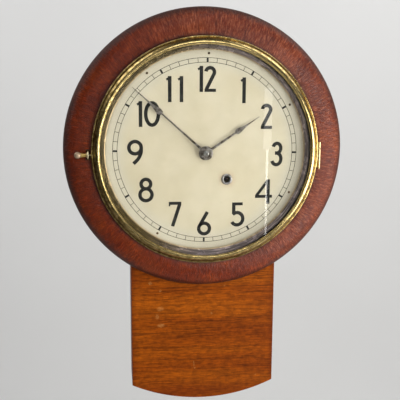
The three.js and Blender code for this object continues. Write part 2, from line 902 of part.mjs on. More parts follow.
function makeWindingArbor() {
  const { rearPivot, body, square, front } = WINDING_ARBOR;
  const shaft = turned(
    [
      [0, PLATES.rear],
      [rearPivot, PLATES.rear],
      [rearPivot, PLATES.rearFront + 0.4],
      [body, PLATES.rearFront + 0.4],
      [body, PLATES.front + 2],
      [0, PLATES.front + 2],
    ],
    ARBOR_SIDES,
    GREAT.x,
    GREAT.y,
  );
  const half = square / 2;
  const key = box(-half, half, -half, half, PLATES.front + 1.9, front);
  node("winding_arbor", metal(COLOURS.steel), join(shaft, key.translate(GREAT.x, GREAT.y, 0)));
}

function makeRatchetWheel() {
  const step = (2 * Math.PI) / RATCHET.teeth;
  const outline = Array.from({ length: RATCHET.teeth }, (_, i) => {
    const angle = RATCHET.phase + i * step;
    return [
      polar(RATCHET.tip, angle, GREAT.x, GREAT.y),
      polar(RATCHET.root, angle + 0.985 * step, GREAT.x, GREAT.y),
    ];
  }).flat();
  const bore = circle(WINDING_ARBOR.body + SEAT_GAP, ARBOR_SIDES, GREAT.x, GREAT.y);
  node("ratchet_wheel", metal(COLOURS.steel), plate(outline, RATCHET.rear, RATCHET.front, [bore]));
}

// A spiral ribbon from the arbor outwards, whose last quarter turn swings out to a pillar.
function makeMainspring() {
  const ribbon = 0.5;
  const inner = 3.6;
  const coilEnd = 35.5;
  const turns = 5;
  const stepsPerTurn = 18;
  const tailSteps = 5;
  const tailAngle = radians(-45);
  const steps = turns * stepsPerTurn;
  const tailReach = PILLARS[3].distanceTo(GREAT) - 4.4;
  const radiusAt = (i) => {
    if (i <= steps) return inner + ((coilEnd - inner) * i) / steps;
    const out = (i - steps) / tailSteps;
    return coilEnd + (tailReach - coilEnd) * out * out;
  };
  const stepAngle = (2 * Math.PI) / stepsPerTurn;
  const last = steps + tailSteps;
  const side = (offset) =>
    Array.from({ length: last + 1 }, (_, i) =>
      polar(radiusAt(i) + offset, tailAngle - (last - i) * stepAngle, GREAT.x, GREAT.y),
    );
  const outline = [...side(0), ...side(ribbon).reverse()];
  node("mainspring", metal(COLOURS.blued), plate(outline, 38.5, 56.5));
}

// ---- Second, third and escape arbors

function makeTrain() {
  node(
    "second_arbor",
    metal(COLOURS.steel),
    trainArbor(SECOND, TEETH.secondPinion, MODULE.great, PHASE.secondPinion, 33.6, 38.4),
  );
  node(
    "second_wheel",
    metal(COLOURS.agedBrass),
    trainWheel(SECOND, TEETH.second, MODULE.second, PHASE.second, 58),
  );
  node(
    "third_arbor",
    metal(COLOURS.steel),
    trainArbor(THIRD, TEETH.thirdPinion, MODULE.second, PHASE.thirdPinion, 56.4, 60.6),
  );
  node(
    "third_wheel",
    metal(COLOURS.agedBrass),
    trainWheel(THIRD, TEETH.third, MODULE.third, PHASE.third, 50),
  );
  node(
    "escape_arbor",
    metal(COLOURS.steel),
    trainArbor(ESCAPE_ARBOR, TEETH.escapePinion, MODULE.third, PHASE.escapePinion, 48.6, 52.8),
  );
}

function makeEscapeWheel() {
  const step = (2 * Math.PI) / TEETH.escape;
  const { x, y } = ESCAPE_ARBOR;
  const outline = Array.from({ length: TEETH.escape }, (_, i) => [
    polar(ESCAPE.tip, i * step, x, y),
    polar(ESCAPE.root, (i + 0.2) * step, x, y),
    polar(ESCAPE.root, (i + 0.8) * step, x, y),
  ]).flat();
  const wheel = join(
    plate(outline, 40, 41.2, crossings(ESCAPE_ARBOR, 5, 13.2, 4, 1.3)),
    rod(3.6, 37.6, 40.1, ARBOR_SIDES, x, y),
  );
  const bore = rod(ARBOR + SEAT_GAP, 37, 42, ARBOR_SIDES, x, y);
  node("escape_wheel", metal(COLOURS.agedBrass), cut(wheel, bore));
}

// ---- Anchor, its arbor and the crutch that pushes the pendulum

function makeAnchor() {
  const { x, y } = PALLETS;
  const shaft = turned(
    [
      [0, 20.8],
      [PALLET_ARBOR, 20.8],
      [PALLET_ARBOR, PLATES.frontRear - 0.4],
      [PIVOT, PLATES.frontRear - 0.4],
      [PIVOT, PLATES.front],
      [0, PLATES.front],
    ],
    ARBOR_SIDES,
    x,
    y,
  );
  node("pallet_arbor", metal(COLOURS.steel), shaft);

  // The strip is bent round the escape wheel, and its ends are the two pallets.
  const inside = ESCAPE.tip + 1.4;
  const outside = inside + 2.4;
  const reach = radians(36);
  const top = Math.PI / 2;
  const strip = [
    ...arc(inside, top - reach, top + reach, 8, ESCAPE_ARBOR.x, ESCAPE_ARBOR.y),
    ...arc(outside, top + reach, top - reach, 8, ESCAPE_ARBOR.x, ESCAPE_ARBOR.y),
  ];
  const anchor = join(
    plate(strip, 39, 42.2),
    rod(3.2, 38.4, 42.8, ARBOR_SIDES, x, y),
    box(-1.6, 1.6, ESCAPE_ARBOR.y + inside + 1, y - 2, 39, 42.2),
  );
  const bore = rod(PALLET_ARBOR + SEAT_GAP, 37, 44, ARBOR_SIDES, x, y);
  node("anchor", metal(COLOURS.steel), cut(anchor, bore));

  const crutch = join(
    rod(2.6, 21.5, 25.2, ARBOR_SIDES, x, y),
    box(-0.9, 0.9, 20, y - 1.8, 22.3, 24.1),
    box(-3, 3, 19, 22.5, 22.1, 24.3),
    box(1.7, 3, 19, 22.5, 14, 22.3),
    box(-3, -1.7, 19, 22.5, 14, 22.3),
  );
  const crutchBore = rod(PALLET_ARBOR + SEAT_GAP, 20, 27, ARBOR_SIDES, x, y);
  node("crutch", metal(COLOURS.agedBrass), cut(crutch, crutchBore));
}

// ---- Pendulum

function makePendulum() {
  const { z, length, rod: rodRadius, bobRadius, bobHalf } = PENDULUM;
  const bobY = PALLETS.y - length;
  const ferruleBottom = 26;
  const spring = join(
    box(-0.12, 0.12, ferruleBottom + 4, PALLETS.y + 7, z - 3, z + 3),
    box(-1.6, 1.6, ferruleBottom, ferruleBottom + 6, z - 4, z + 3.4),
  );
  node("suspension_spring", metal(COLOURS.steel), spring);

  const rodBottom = bobY - bobRadius - 11;
  const rodSides = 12;
  const rodPiece = uprightRod(rodRadius, rodBottom, ferruleBottom - LAY_GAP, rodSides, 0, z);
  node("pendulum_rod", metal(COLOURS.steel), rodPiece);

  const lensSteps = 6;
  const lens = Array.from({ length: lensSteps + 1 }, (_, i) => {
    const out = Math.sin(((i / lensSteps) * Math.PI) / 2);
    return [bobRadius * out, 0.8 + (bobHalf - 0.8) * Math.sqrt(1 - out * out)];
  });
  const profile = [
    ...lens.map(([radius, height]) => [radius, -height]),
    ...lens.reverse(),
  ];
  const bore = uprightRod(rodRadius + LAY_GAP, bobY - 40, bobY + 40, rodSides, 0, z);
  node(
    "pendulum_bob",
    metal(COLOURS.brass),
    cut(turned(profile, 28).translate(0, bobY, z), bore),
  );

  const nutTop = bobY - bobRadius - 0.6;
  const nut = cut(
    uprightRod(4.5, nutTop - 4.5, nutTop, 16, 0, z),
    uprightRod(rodRadius + SEAT_GAP, nutTop - 6, nutTop + 1, rodSides, 0, z),
  );
  node("rating_nut", metal(COLOURS.brass), nut);
}

// ---- Motion work, hands

const MOTION = { cannonRear: 64.6, minuteRear: 65.4, hourRear: 68.6 };
const PIPE = { cannon: 2.6, hourInner: 3, hour: 4.2 };
const HANDS = { hourRear: 91.8, minuteRear: 95.6, thickness: 1 };

function makeCenter() {
  const shaft = turned(
    [
      [0, PLATES.rear],
      [CENTER_PIVOT, PLATES.rear],
      [CENTER_PIVOT, PLATES.rearFront + 0.4],
      [ARBOR, PLATES.rearFront + 0.4],
      [ARBOR, 98.6],
      [0, 98.6],
    ],
    ARBOR_SIDES,
  );
  node("center_arbor", metal(COLOURS.steel), shaft);
  node(
    "center_wheel",
    metal(COLOURS.agedBrass),
    trainWheel(CENTER, TEETH.center, MODULE.second, PHASE.center, 58),
  );

  const pinion = gearOutline(TEETH.cannon, MODULE.cannon, PHASE.cannon, CENTER);
  const cannon = join(
    plate(pinion, MOTION.cannonRear, MOTION.cannonRear + 3),
    rod(PIPE.cannon, MOTION.cannonRear + 2.9, 96.9, 20),
  );
  const bore = rod(ARBOR + SEAT_GAP, 60, 98, ARBOR_SIDES);
  node("cannon_pinion", metal(COLOURS.steel), cut(cannon, bore));
}

function makeMotionWork() {
  const { x, y } = MINUTE_STUD;
  const stud = rod(1.2, PLATES.front, MOTION.hourRear + 4, 12, x, y);
  node("minute_wheel_stud", metal(COLOURS.steel), stud);
  const minuteWheel = join(
    plate(
      gearOutline(TEETH.minute, MODULE.cannon, PHASE.minute, MINUTE_STUD),
      MOTION.minuteRear,
      MOTION.minuteRear + 1.2,
    ),
    plate(
      gearOutline(TEETH.minutePinion, MODULE.hour, PHASE.minutePinion, MINUTE_STUD),
      MOTION.minuteRear + 1.1,
      MOTION.hourRear + 2.4,
    ),
  );
  const studBore = rod(1.2 + RUNNING_GAP / 2, 60, 75, 12, x, y);
  node("minute_wheel", metal(COLOURS.agedBrass), cut(minuteWheel, studBore));

  const hourWheel = join(
    plate(
      gearOutline(TEETH.hour, MODULE.hour, PHASE.hour, CENTER),
      MOTION.hourRear,
      MOTION.hourRear + 1.2,
    ),
    rod(PIPE.hour, MOTION.hourRear + 1.1, HANDS.hourRear + HANDS.thickness + 0.4, 20),
  );
  node("hour_wheel", metal(COLOURS.agedBrass), cut(hourWheel, rod(PIPE.hourInner, 60, 95, 20)));
}

// Half of a hand's outline is [half width, distance from the axis]; the other half mirrors it.
function hand(halfOutline, boss, bore, rear) {
  const right = halfOutline.map(([half, reach]) => new THREE.Vector2(half, reach));
  const left = halfOutline.map(([half, reach]) => new THREE.Vector2(-half, reach)).reverse();
  const blade = plate([...right, ...left], rear, rear + HANDS.thickness);
  const disc = rod(boss, rear, rear + HANDS.thickness + 0.3, 24);
  return cut(join(blade, disc), rod(bore + 2 * SEAT_GAP, rear - 1, rear + 3, 20));
}

function makeHands() {
  const minuteHand = hand(
    [
      [1.9, 4],
      [1.3, 60],
      [1.2, 89],
      [3.6, 91.5],
      [4.6, 95.5],
      [3.9, 100.5],
      [2.2, 108],
      [1, 118],
      [0.4, 149],
    ],
    10.5,
    PIPE.cannon,
    HANDS.minuteRear,
  );
  minuteHand.rotateZ(-radians(MINUTE * 6));
  node("minute_hand", metal(COLOURS.blued), minuteHand);

  const hourHand = hand(
    [
      [2.1, 4],
      [1.4, 54],
      [3.4, 56],
      [4.3, 59.5],
      [3.6, 64],
      [2, 71],
      [1, 80],
      [0.4, 98.5],
    ],
    11,
    PIPE.hour,
    HANDS.hourRear,
  );
  hourHand.rotateZ(-radians((HOUR + MINUTE / 60) * 30));
  node("hour_hand", metal(COLOURS.blued), hourHand);

  const nutRear = HANDS.minuteRear + HANDS.thickness + 0.6;
  const nut = turned(
    [
      [ARBOR + SEAT_GAP, nutRear],
      [4.4, nutRear],
      [4.4, nutRear + 0.8],
      [3.2, nutRear + 1.8],
      [ARBOR + SEAT_GAP, nutRear + 2.1],
      [ARBOR + SEAT_GAP, nutRear],
    ],
    2 * ARBOR_SIDES,
  );
  node("hand_nut", metal(COLOURS.brass), nut);
}

// ---------------------------------------------------------------- assembly

makeBackboard();
makeSideBoards();
makeTopBoard();
makeBottomBoard();
makeDropFrontPanel();
makeWoodRing();
makeHangerPlate();
makeMovementBlocks();
makeSideDoor();
makeSideDoorHinge();
makeDial();
makeBezelRing();
makeSightRing();
makeGlass();
makeBezelHinge();
makeLatch();
makePlates();
makePillars();
makeSuspensionCock();
makeGreatWheel();
makeClick();
makeClickSpring();
makeWindingArbor();
makeRatchetWheel();
makeMainspring();
makeTrain();
makeEscapeWheel();
makeAnchor();
makePendulum();
makeCenter();
makeMotionWork();
makeHands();

export default clock;
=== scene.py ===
"""Looks of a schoolhouse wall clock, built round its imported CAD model.

Metres in the row frame: +X is right, +Z is up and the dial faces -Y. Sizes below are millimetres, given as
seen from the front: a piece's forward distance is measured from the wall, so its y is minus that.
"""

import json
import math

import bmesh
import bpy
from mathutils import Matrix, Vector, noise


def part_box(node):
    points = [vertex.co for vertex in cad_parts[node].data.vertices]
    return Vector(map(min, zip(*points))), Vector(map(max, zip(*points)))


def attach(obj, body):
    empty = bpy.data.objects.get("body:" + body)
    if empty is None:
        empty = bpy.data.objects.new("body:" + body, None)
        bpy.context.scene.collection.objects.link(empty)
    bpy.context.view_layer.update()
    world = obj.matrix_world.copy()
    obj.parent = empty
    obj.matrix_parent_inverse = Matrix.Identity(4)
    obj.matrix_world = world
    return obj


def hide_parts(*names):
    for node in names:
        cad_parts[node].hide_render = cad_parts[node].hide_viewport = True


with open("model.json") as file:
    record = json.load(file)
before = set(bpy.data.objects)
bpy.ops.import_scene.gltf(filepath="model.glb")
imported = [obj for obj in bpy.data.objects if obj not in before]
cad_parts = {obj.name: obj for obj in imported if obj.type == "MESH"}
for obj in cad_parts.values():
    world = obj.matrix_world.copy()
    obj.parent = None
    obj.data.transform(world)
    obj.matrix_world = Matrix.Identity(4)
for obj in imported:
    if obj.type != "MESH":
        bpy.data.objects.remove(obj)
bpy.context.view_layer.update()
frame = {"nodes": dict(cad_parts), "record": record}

MM = 0.001

# ------------------------------------------------------------------ places taken from the CAD model


def middle(node):
    low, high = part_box(node)
    return (low + high) / 2


def in_mm(value):
    return value / MM


RING_MIDDLE = middle("wood_ring")
RING_X, RING_Z = in_mm(RING_MIDDLE.x), in_mm(RING_MIDDLE.z)
HANDS_MIDDLE = middle("hour_wheel")
WINDING_MIDDLE = middle("winding_grommet")
WINDING_X, WINDING_Z = in_mm(WINDING_MIDDLE.x), in_mm(WINDING_MIDDLE.z)
DIAL_FRONT = -in_mm(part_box("dial_plate")[0].y)
GLASS_FRONT = -in_mm(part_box("glass")[0].y)
BEZEL_FRONT = -in_mm(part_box("bezel_ring")[0].y)
PANEL_LOW, PANEL_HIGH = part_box("drop_front_panel")
BEZEL_CREST_RADIUS = in_mm(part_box("bezel_ring")[1].x - RING_MIDDLE.x) - 10.4

# ------------------------------------------------------------------ mesh helpers


def piece_from(name, bm, smooth_angle=35):
    """A mesh object from bm, with outward faces, smooth but for edges sharper than the angle."""
    bmesh.ops.remove_doubles(bm, verts=bm.verts, dist=1e-7)
    bmesh.ops.recalc_face_normals(bm, faces=bm.faces)
    mesh = bpy.data.meshes.new(name)
    bm.to_mesh(mesh)
    bm.free()
    mesh.shade_smooth()
    mesh.set_sharp_from_angle(angle=math.radians(smooth_angle))
    piece = bpy.data.objects.new(name, mesh)
    bpy.context.scene.collection.objects.link(piece)
    return piece


def facing_front(centre_x, centre_z):
    """Places (across, up, forward) in mm about an axis that points to the front."""
    return lambda a, b, h: Vector(((centre_x + a) * MM, -h * MM, (centre_z + b) * MM))


def standing(centre_x, forward):
    """Places (across, back, height) in mm about an upright axis."""
    return lambda a, b, h: Vector(((centre_x + a) * MM, (b - forward) * MM, h * MM))


def pointing_right(forward, centre_z):
    """Places (up, back, along) in mm about an axis along x."""
    return lambda a, b, h: Vector((h * MM, (b - forward) * MM, (centre_z + a) * MM))


def rounded(points, steps=4):
    """A smooth line through the points, with the given number of steps between two of them."""
    line = []
    last = len(points) - 1
    for i in range(last):
        before, start = Vector(points[max(i - 1, 0)]), Vector(points[i])
        end, after = Vector(points[i + 1]), Vector(points[min(i + 2, last)])
        for step in range(steps):
            t = step / steps
            line.append(
                tuple(
                    0.5
                    * (
                        2 * start
                        + (end - before) * t
                        + (2 * before - 5 * start + 4 * end - after) * t * t
                        + (3 * start - before - 3 * end + after) * t * t * t
                    )
                )
            )
    return [*line, tuple(points[-1])]


def turned(name, profile, place, sides=64, warp=None, smooth_angle=35):
    """Turns a profile of (radius, height) once round. warp may shift a point by (radius, height)."""
    bm = bmesh.new()
    rings = []
    for i in range(sides):
        angle = 2 * math.pi * i / sides
        ring = []
        for radius, height in profile:
            if warp:
                more_radius, more_height = warp(angle, radius, height)
                radius, height = radius + more_radius, height + more_height
            ring.append(bm.verts.new(place(radius * math.cos(angle), radius * math.sin(angle), height)))
        rings.append(ring)
    for i, ring in enumerate(rings):
        following = rings[(i + 1) % sides]
        for j in range(len(profile) - 1):
            bm.faces.new((ring[j], ring[j + 1], following[j + 1], following[j]))
    bmesh.ops.remove_doubles(bm, verts=bm.verts, dist=1e-7)
    bmesh.ops.dissolve_degenerate(bm, edges=bm.edges, dist=1e-7)
    return piece_from(name, bm, smooth_angle)


def prism(name, outline, place, rear, front, smooth_angle=35):
    """A flat piece with the outline (across, up), between two forward distances."""
    bm = bmesh.new()
    back = [bm.verts.new(place(a, b, rear)) for a, b in outline]
    face = [bm.verts.new(place(a, b, front)) for a, b in outline]
    bm.faces.new(back)
    bm.faces.new(face)
    for i in range(len(outline)):
        j = (i + 1) % len(outline)
        bm.faces.new((back[i], back[j], face[j], face[i]))
    return piece_from(name, bm, smooth_angle)


def block(name, low, high):
    """A box between two corners in mm, each (x, forward, z)."""
    outline = [(low[0], low[2]), (high[0], low[2]), (high[0], high[2]), (low[0], high[2])]
    return prism(name, outline, facing_front(0, 0), low[1], high[1])


def applied(piece):
    """Replaces the piece's mesh with what its modifiers make of it."""
    graph = bpy.context.evaluated_depsgraph_get()
    graph.update()
    mesh = bpy.data.meshes.new_from_object(piece.evaluated_get(graph))
    piece.modifiers.clear()
    piece.data = mesh
    mesh.shade_smooth()
    mesh.set_sharp_from_angle(angle=math.radians(35))
    return piece


def carved(piece, *cutters):
    for cutter in cutters:
        modifier = piece.modifiers.new("cut", "BOOLEAN")
        modifier.operation = "DIFFERENCE"
        modifier.solver = "EXACT"
        modifier.object = cutter
    applied(piece)
    for cutter in cutters:
        bpy.data.objects.remove(cutter)
    return piece


def joined(name, pieces):
    """One piece from several meshes that stay separate shells."""
    bm = bmesh.new()
    for piece in pieces:
        bm.from_mesh(piece.data)
        bpy.data.objects.remove(piece)
    return piece_from(name, bm)


def eased(piece, width, segments=2, angle=40):
    """Rounds the piece's edges that are sharper than the angle."""
    modifier = piece.modifiers.new("edges", "BEVEL")
    modifier.width = width * MM
    modifier.segments = segments
    modifier.limit_method = "ANGLE"
    modifier.angle_limit = math.radians(angle)
    modifier.harden_normals = True
    return piece


# ------------------------------------------------------------------ material helpers


class Finish:
    """A node material with one Principled shader and short calls for its pattern nodes."""

    def __init__(self, name):
        self.material = bpy.data.materials.new(name)
        self.material.use_nodes = True
        self.tree = self.material.node_tree
        self.shader = self.tree.nodes["Principled BSDF"]
        self.position = self.node("ShaderNodeTexCoord").outputs["Object"]

    def node(self, kind, **settings):
        made = self.tree.nodes.new(kind)
        for key, value in settings.items():
            setattr(made, key, value)
        return made

    def join(self, source, socket):
        if isinstance(source, bpy.types.NodeSocket):
            self.tree.links.new(source, socket)
        else:
            socket.default_value = source

    def put(self, **values):
        """Sets the shader's sockets, by name with underscores for spaces."""
        for key, value in values.items():
            self.join(value, self.shader.inputs[key.replace("_", " ")])
        return self

    def maths(self, operation, a, b=0.0, c=0.0, clamp=False):
        made = self.node("ShaderNodeMath", operation=operation, use_clamp=clamp)
        for socket, value in zip(made.inputs, (a, b, c)):
            self.join(value, socket)
        return made.outputs[0]

    def parts(self, vector):
        return self.node_output("ShaderNodeSeparateXYZ", vector)

    def node_output(self, kind, vector):
        made = self.node(kind)
        self.join(vector, made.inputs[0])
        return made.outputs

    def vector(self, x, y, z):
        made = self.node("ShaderNodeCombineXYZ")
        for socket, value in zip(made.inputs, (x, y, z)):
            self.join(value, socket)
        return made.outputs[0]

    def scaled(self, vector, factors):
        made = self.node("ShaderNodeVectorMath", operation="MULTIPLY")
        self.join(vector, made.inputs[0])
        made.inputs[1].default_value = factors
        return made.outputs[0]

    def moved(self, vector, shift):
        made = self.node("ShaderNodeVectorMath", operation="ADD")
        self.join(vector, made.inputs[0])
        self.join(shift, made.inputs[1])
        return made.outputs[0]

    def cloud(self, vector, scale, detail=3.0, roughness=0.55, distortion=0.0):
        """Noise from 0 to 1."""
        made = self.node("ShaderNodeTexNoise")
        self.join(vector, made.inputs["Vector"])
        made.inputs["Scale"].default_value = scale
        made.inputs["Detail"].default_value = detail
        made.inputs["Roughness"].default_value = roughness
        made.inputs["Distortion"].default_value = distortion
        return made.outputs["Fac"]

    def wander(self, vector, scale, amount):
        """The vector, pushed about by noise."""
        made = self.node("ShaderNodeTexNoise")
        self.join(vector, made.inputs["Vector"])
        made.inputs["Scale"].default_value = scale
        centred = self.moved(made.outputs["Color"], (-0.5, -0.5, -0.5))
        return self.moved(vector, self.scaled(centred, amount))

    def ramp(self, factor, *stops):
        """Colours or levels at positions from 0 to 1."""
        made = self.node("ShaderNodeValToRGB")
        self.join(factor, made.inputs[0])
        elements = made.color_ramp.elements
        while len(elements) < len(stops):
            elements.new(0.5)
        for element, (position, colour) in zip(elements, stops):
            element.position = position
            level = isinstance(colour, (int, float))
            element.color = (colour, colour, colour, 1) if level else (*colour, 1)
        return made.outputs["Color"]

    def between(self, value, low, high):
        """0 at low, 1 at high, smooth in between."""
        made = self.node("ShaderNodeMapRange", interpolation_type="SMOOTHSTEP")
        self.join(value, made.inputs["Value"])
        made.inputs["From Min"].default_value = low
        made.inputs["From Max"].default_value = high
        return made.outputs["Result"]

    def mix(self, factor, a, b, blend="MIX"):
        made = self.node("ShaderNodeMix", data_type="RGBA", blend_type=blend)
        self.join(factor, made.inputs["Factor"])
        colours = [s for s in made.inputs if s.type == "RGBA"]
        for socket, colour in zip(colours, (a, b)):
            self.join(colour if isinstance(colour, bpy.types.NodeSocket) else (*colour, 1), socket)
        return next(s for s in made.outputs if s.type == "RGBA")

    def bump(self, height, distance, strength=1.0):
        made = self.node("ShaderNodeBump")
        made.inputs["Distance"].default_value = distance * MM
        made.inputs["Strength"].default_value = strength
        self.join(height, made.inputs["Height"])
        self.join(made.outputs[0], self.shader.inputs["Normal"])
        return self

    def about_ring(self):
        """(direction across, direction up, radius in metres) about the ring's axis."""
        x, _, z = self.parts(self.position)
        x = self.maths("SUBTRACT", x, RING_MIDDLE.x)
        z = self.maths("SUBTRACT", z, RING_MIDDLE.z)
        radius = self.maths(
            "SQRT",
            self.maths("ADD", self.maths("MULTIPLY", x, x), self.maths("MULTIPLY", z, z)),
        )
        radius = self.maths("MAXIMUM", radius, 1e-4)
        return self.maths("DIVIDE", x, radius), self.maths("DIVIDE", z, radius), radius


def round_grain(finish, round_count, radial_count):
    """Pattern coordinates that follow the ring: so many features a metre round it and along its radius."""
    across, up, radius = finish.about_ring()
    mean_radius = 0.19
    return finish.vector(
        finish.maths("MULTIPLY", across, mean_radius * round_count),
        finish.maths("MULTIPLY", up, mean_radius * round_count),
        finish.maths("MULTIPLY", radius, radial_count),
    )


# ------------------------------------------------------------------ materials


def ring_mahogany():
    """Reddish mahogany with its figure along the radius, painted sheen ripples, a painted bezel shadow and painted
    edge shade.
    """
    f = Finish("ring_mahogany")
    fine = f.cloud(f.wander(round_grain(f, 800, 110), 1.3, (1.6, 1.6, 1.6)), 1.0, 4, 0.6)
    curls = f.cloud(f.wander(round_grain(f, 230, 130), 1.1, (2.6, 2.6, 2.6)), 1.0, 3, 0.6)
    broad = f.cloud(round_grain(f, 22, 26), 1.0, 3, 0.55)
    pores = f.ramp(f.cloud(round_grain(f, 1500, 260), 1.0, 2, 0.5), (0.30, 0.66), (0.42, 1.0))
    body = f.ramp(
        broad,
        (0.30, (0.115, 0.0115, 0.0004)),
        (0.52, (0.165, 0.0185, 0.0007)),
        (0.75, (0.225, 0.034, 0.0014)),
    )
    light = f.ramp(fine, (0.36, 0.66), (0.52, 1.0), (0.66, 1.55))
    figure = f.ramp(curls, (0.35, 0.82), (0.5, 1.0), (0.64, 1.3))
    colour = f.mix(1.0, f.mix(1.0, f.mix(1.0, body, light, "MULTIPLY"), figure, "MULTIPLY"), pores, "MULTIPLY")
    across, up, radius = f.about_ring()
    # Painted sheen: pale tan ripples are mixed into the colour towards the right and top, where the lamps' sheen
    # falls.
    sheen_side = f.between(f.maths("MULTIPLY_ADD", up, 0.45, across), -0.35, 0.45)
    ripples = f.maths(
        "MULTIPLY", f.ramp(fine, (0.50, 0.0), (0.64, 1.0)), f.ramp(curls, (0.36, 0.3), (0.56, 1.0))
    )
    painted_sheen_ripples = f.maths("MULTIPLY", ripples, f.maths("MULTIPLY", sheen_side, 0.45))
    colour = f.mix(painted_sheen_ripples, colour, (0.43, 0.185, 0.09))
    # Painted shade: the colour darkens towards the rounded outer edge, which is also made rougher.
    edge = f.between(radius, 0.2025, 0.2130)
    colour = f.mix(f.maths("MULTIPLY", edge, 0.7), colour, (0.022, 0.0065, 0.003))
    # Painted shadow: the colour darkens on the ring next to the bezel's outer edge.
    bezel_shadow = f.maths("MULTIPLY", f.between(radius, 0.1785, 0.1725), 0.6)
    colour = f.mix(bezel_shadow, colour, (0.02, 0.006, 0.002))
    f.put(
        Base_Color=colour,
        Roughness=f.maths("MULTIPLY_ADD", edge, 0.2, 0.30),
        Specular_IOR_Level=0.31,
    )
    f.bump(f.maths("ADD", f.maths("MULTIPLY", fine, 0.9), curls), 1.0, 1.0)
    return f.material


def straight_grain(name, stretch, body, dark, streak=0.65, shine=0.25):
    """Varnished wood. stretch is the number of grain features a metre along x, y and z."""
    f = Finish(name)
    wavy = f.wander(f.position, 9.0, (0.0035, 0.0035, 0.0035))
    long_lines = f.cloud(f.scaled(wavy, stretch), 1.0, 5, 0.62)
    fine = f.cloud(f.scaled(wavy, tuple(3.4 * s for s in stretch)), 1.0, 3, 0.6)
    broad = f.cloud(f.scaled(f.position, tuple(0.16 * s for s in stretch)), 1.0, 2, 0.5)
    colour = f.mix(f.ramp(long_lines, (0.38, 0.0), (0.64, 1.0)), dark, body)
    colour = f.mix(1.0, colour, f.ramp(fine, (0.34, streak), (0.5, 1.0), (0.7, 1.2)), "MULTIPLY")
    colour = f.mix(1.0, colour, f.ramp(broad, (0.34, 0.82), (0.66, 1.14)), "MULTIPLY")
    f.put(
        Base_Color=colour,
        Roughness=f.maths("MULTIPLY_ADD", fine, 0.15, 0.38),
        Specular_IOR_Level=shine,
    )
    f.bump(fine, 0.05, 0.5)
    return f.material


# Light scuffs on the drop's front: x, z, half width and half height in mm, and strength.
SCUFFS = (
    (-85, -210, 3.0, 3.0, 0.50),
    (-69, -223, 2.2, 2.4, 0.42),
    (-69, -253, 6.0, 4.0, 0.44),
    (-74, -266, 3.0, 5.0, 0.38),
    (-68, -281, 6.5, 3.6, 0.52),
    (14, -263, 1.8, 1.8, 0.40),
    (34, -217, 1.5, 1.4, 0.40),
    (48, -206, 1.6, 1.2, 0.50),
    (-15, -349, 0.8, 6.0, 0.60),
    (-13, -356, 1.5, 1.3, 0.85),
    (88, -372, 1.8, 1.1, 0.42),
)


def drop_mahogany():
    """Orange-brown mahogany with wavy grain across the panel, darker edges and old scuffs."""
    f = Finish("drop_mahogany")
    x, _, z = f.parts(f.position)
    slow = f.wander(f.position, 14.0, (0.0, 0.0, 0.0045))
    wavy = f.wander(slow, 55.0, (0.0, 0.0, 0.0014))
    lines = f.cloud(f.scaled(wavy, (9, 9, 330)), 1.0, 5, 0.65)
    fine = f.cloud(f.scaled(wavy, (60, 60, 1000)), 1.0, 3, 0.6)
    ripple = f.cloud(f.scaled(f.wander(f.position, 30.0, (0.01, 0, 0.01)), (150, 150, 210)), 1.0, 3, 0.6)
    bands = f.cloud(f.scaled(slow, (3.2, 3.2, 34)), 1.0, 2, 0.5)
    body = f.ramp(
        bands,
        (0.34, (0.228, 0.042, 0.0008)),
        (0.5, (0.29, 0.059, 0.0012)),
        (0.68, (0.35, 0.078, 0.002)),
    )
    colour = f.mix(1.0, body, f.ramp(lines, (0.35, 0.56), (0.46, 0.95), (0.66, 1.13)), "MULTIPLY")
    colour = f.mix(1.0, colour, f.ramp(fine, (0.36, 0.68), (0.5, 1.0), (0.64, 1.3)), "MULTIPLY")
    colour = f.mix(1.0, colour, f.ramp(ripple, (0.36, 0.80), (0.62, 1.18)), "MULTIPLY")
    half = (PANEL_HIGH.x - PANEL_LOW.x) / 2
    edge = f.between(f.maths("ABSOLUTE", x), half - 0.010, half + 0.001)
    foot = f.between(z, PANEL_LOW.z + 0.045, PANEL_LOW.z + 0.006)
    # Darker along the panel's sides and towards its foot.
    edge_darkening = f.maths("MAXIMUM", f.maths("MULTIPLY", edge, 0.55), f.maths("MULTIPLY", foot, 0.35))
    colour = f.mix(edge_darkening, colour, (0.105, 0.014, 0.002))
    rough_edges = f.wander(f.position, 260.0, (0.004, 0.004, 0.004))
    worn_x, _, worn_z = f.parts(rough_edges)
    worn = None
    for at_x, at_z, half_x, half_z, strength in SCUFFS:
        dx = f.maths("DIVIDE", f.maths("SUBTRACT", worn_x, at_x * MM), half_x * MM)
        dz = f.maths("DIVIDE", f.maths("SUBTRACT", worn_z, at_z * MM), half_z * MM)
        far = f.maths("ADD", f.maths("MULTIPLY", dx, dx), f.maths("MULTIPLY", dz, dz))
        mark = f.maths("MULTIPLY", f.between(far, 1.4, 0.2), strength)
        worn = mark if worn is None else f.maths("MAXIMUM", worn, mark)
    broken = f.ramp(f.cloud(f.position, 620.0, 3, 0.6), (0.38, 0.25), (0.62, 1.0))
    colour = f.mix(f.maths("MULTIPLY", worn, broken), colour, (0.60, 0.27, 0.075))
    f.put(
        Base_Color=colour,
        Roughness=f.maths("MULTIPLY_ADD", fine, 0.12, 0.36),
        Specular_IOR_Level=0.14,
    )
    f.bump(f.maths("ADD", fine, f.maths("MULTIPLY", lines, 0.7)), 0.06, 0.6)
    return f.material


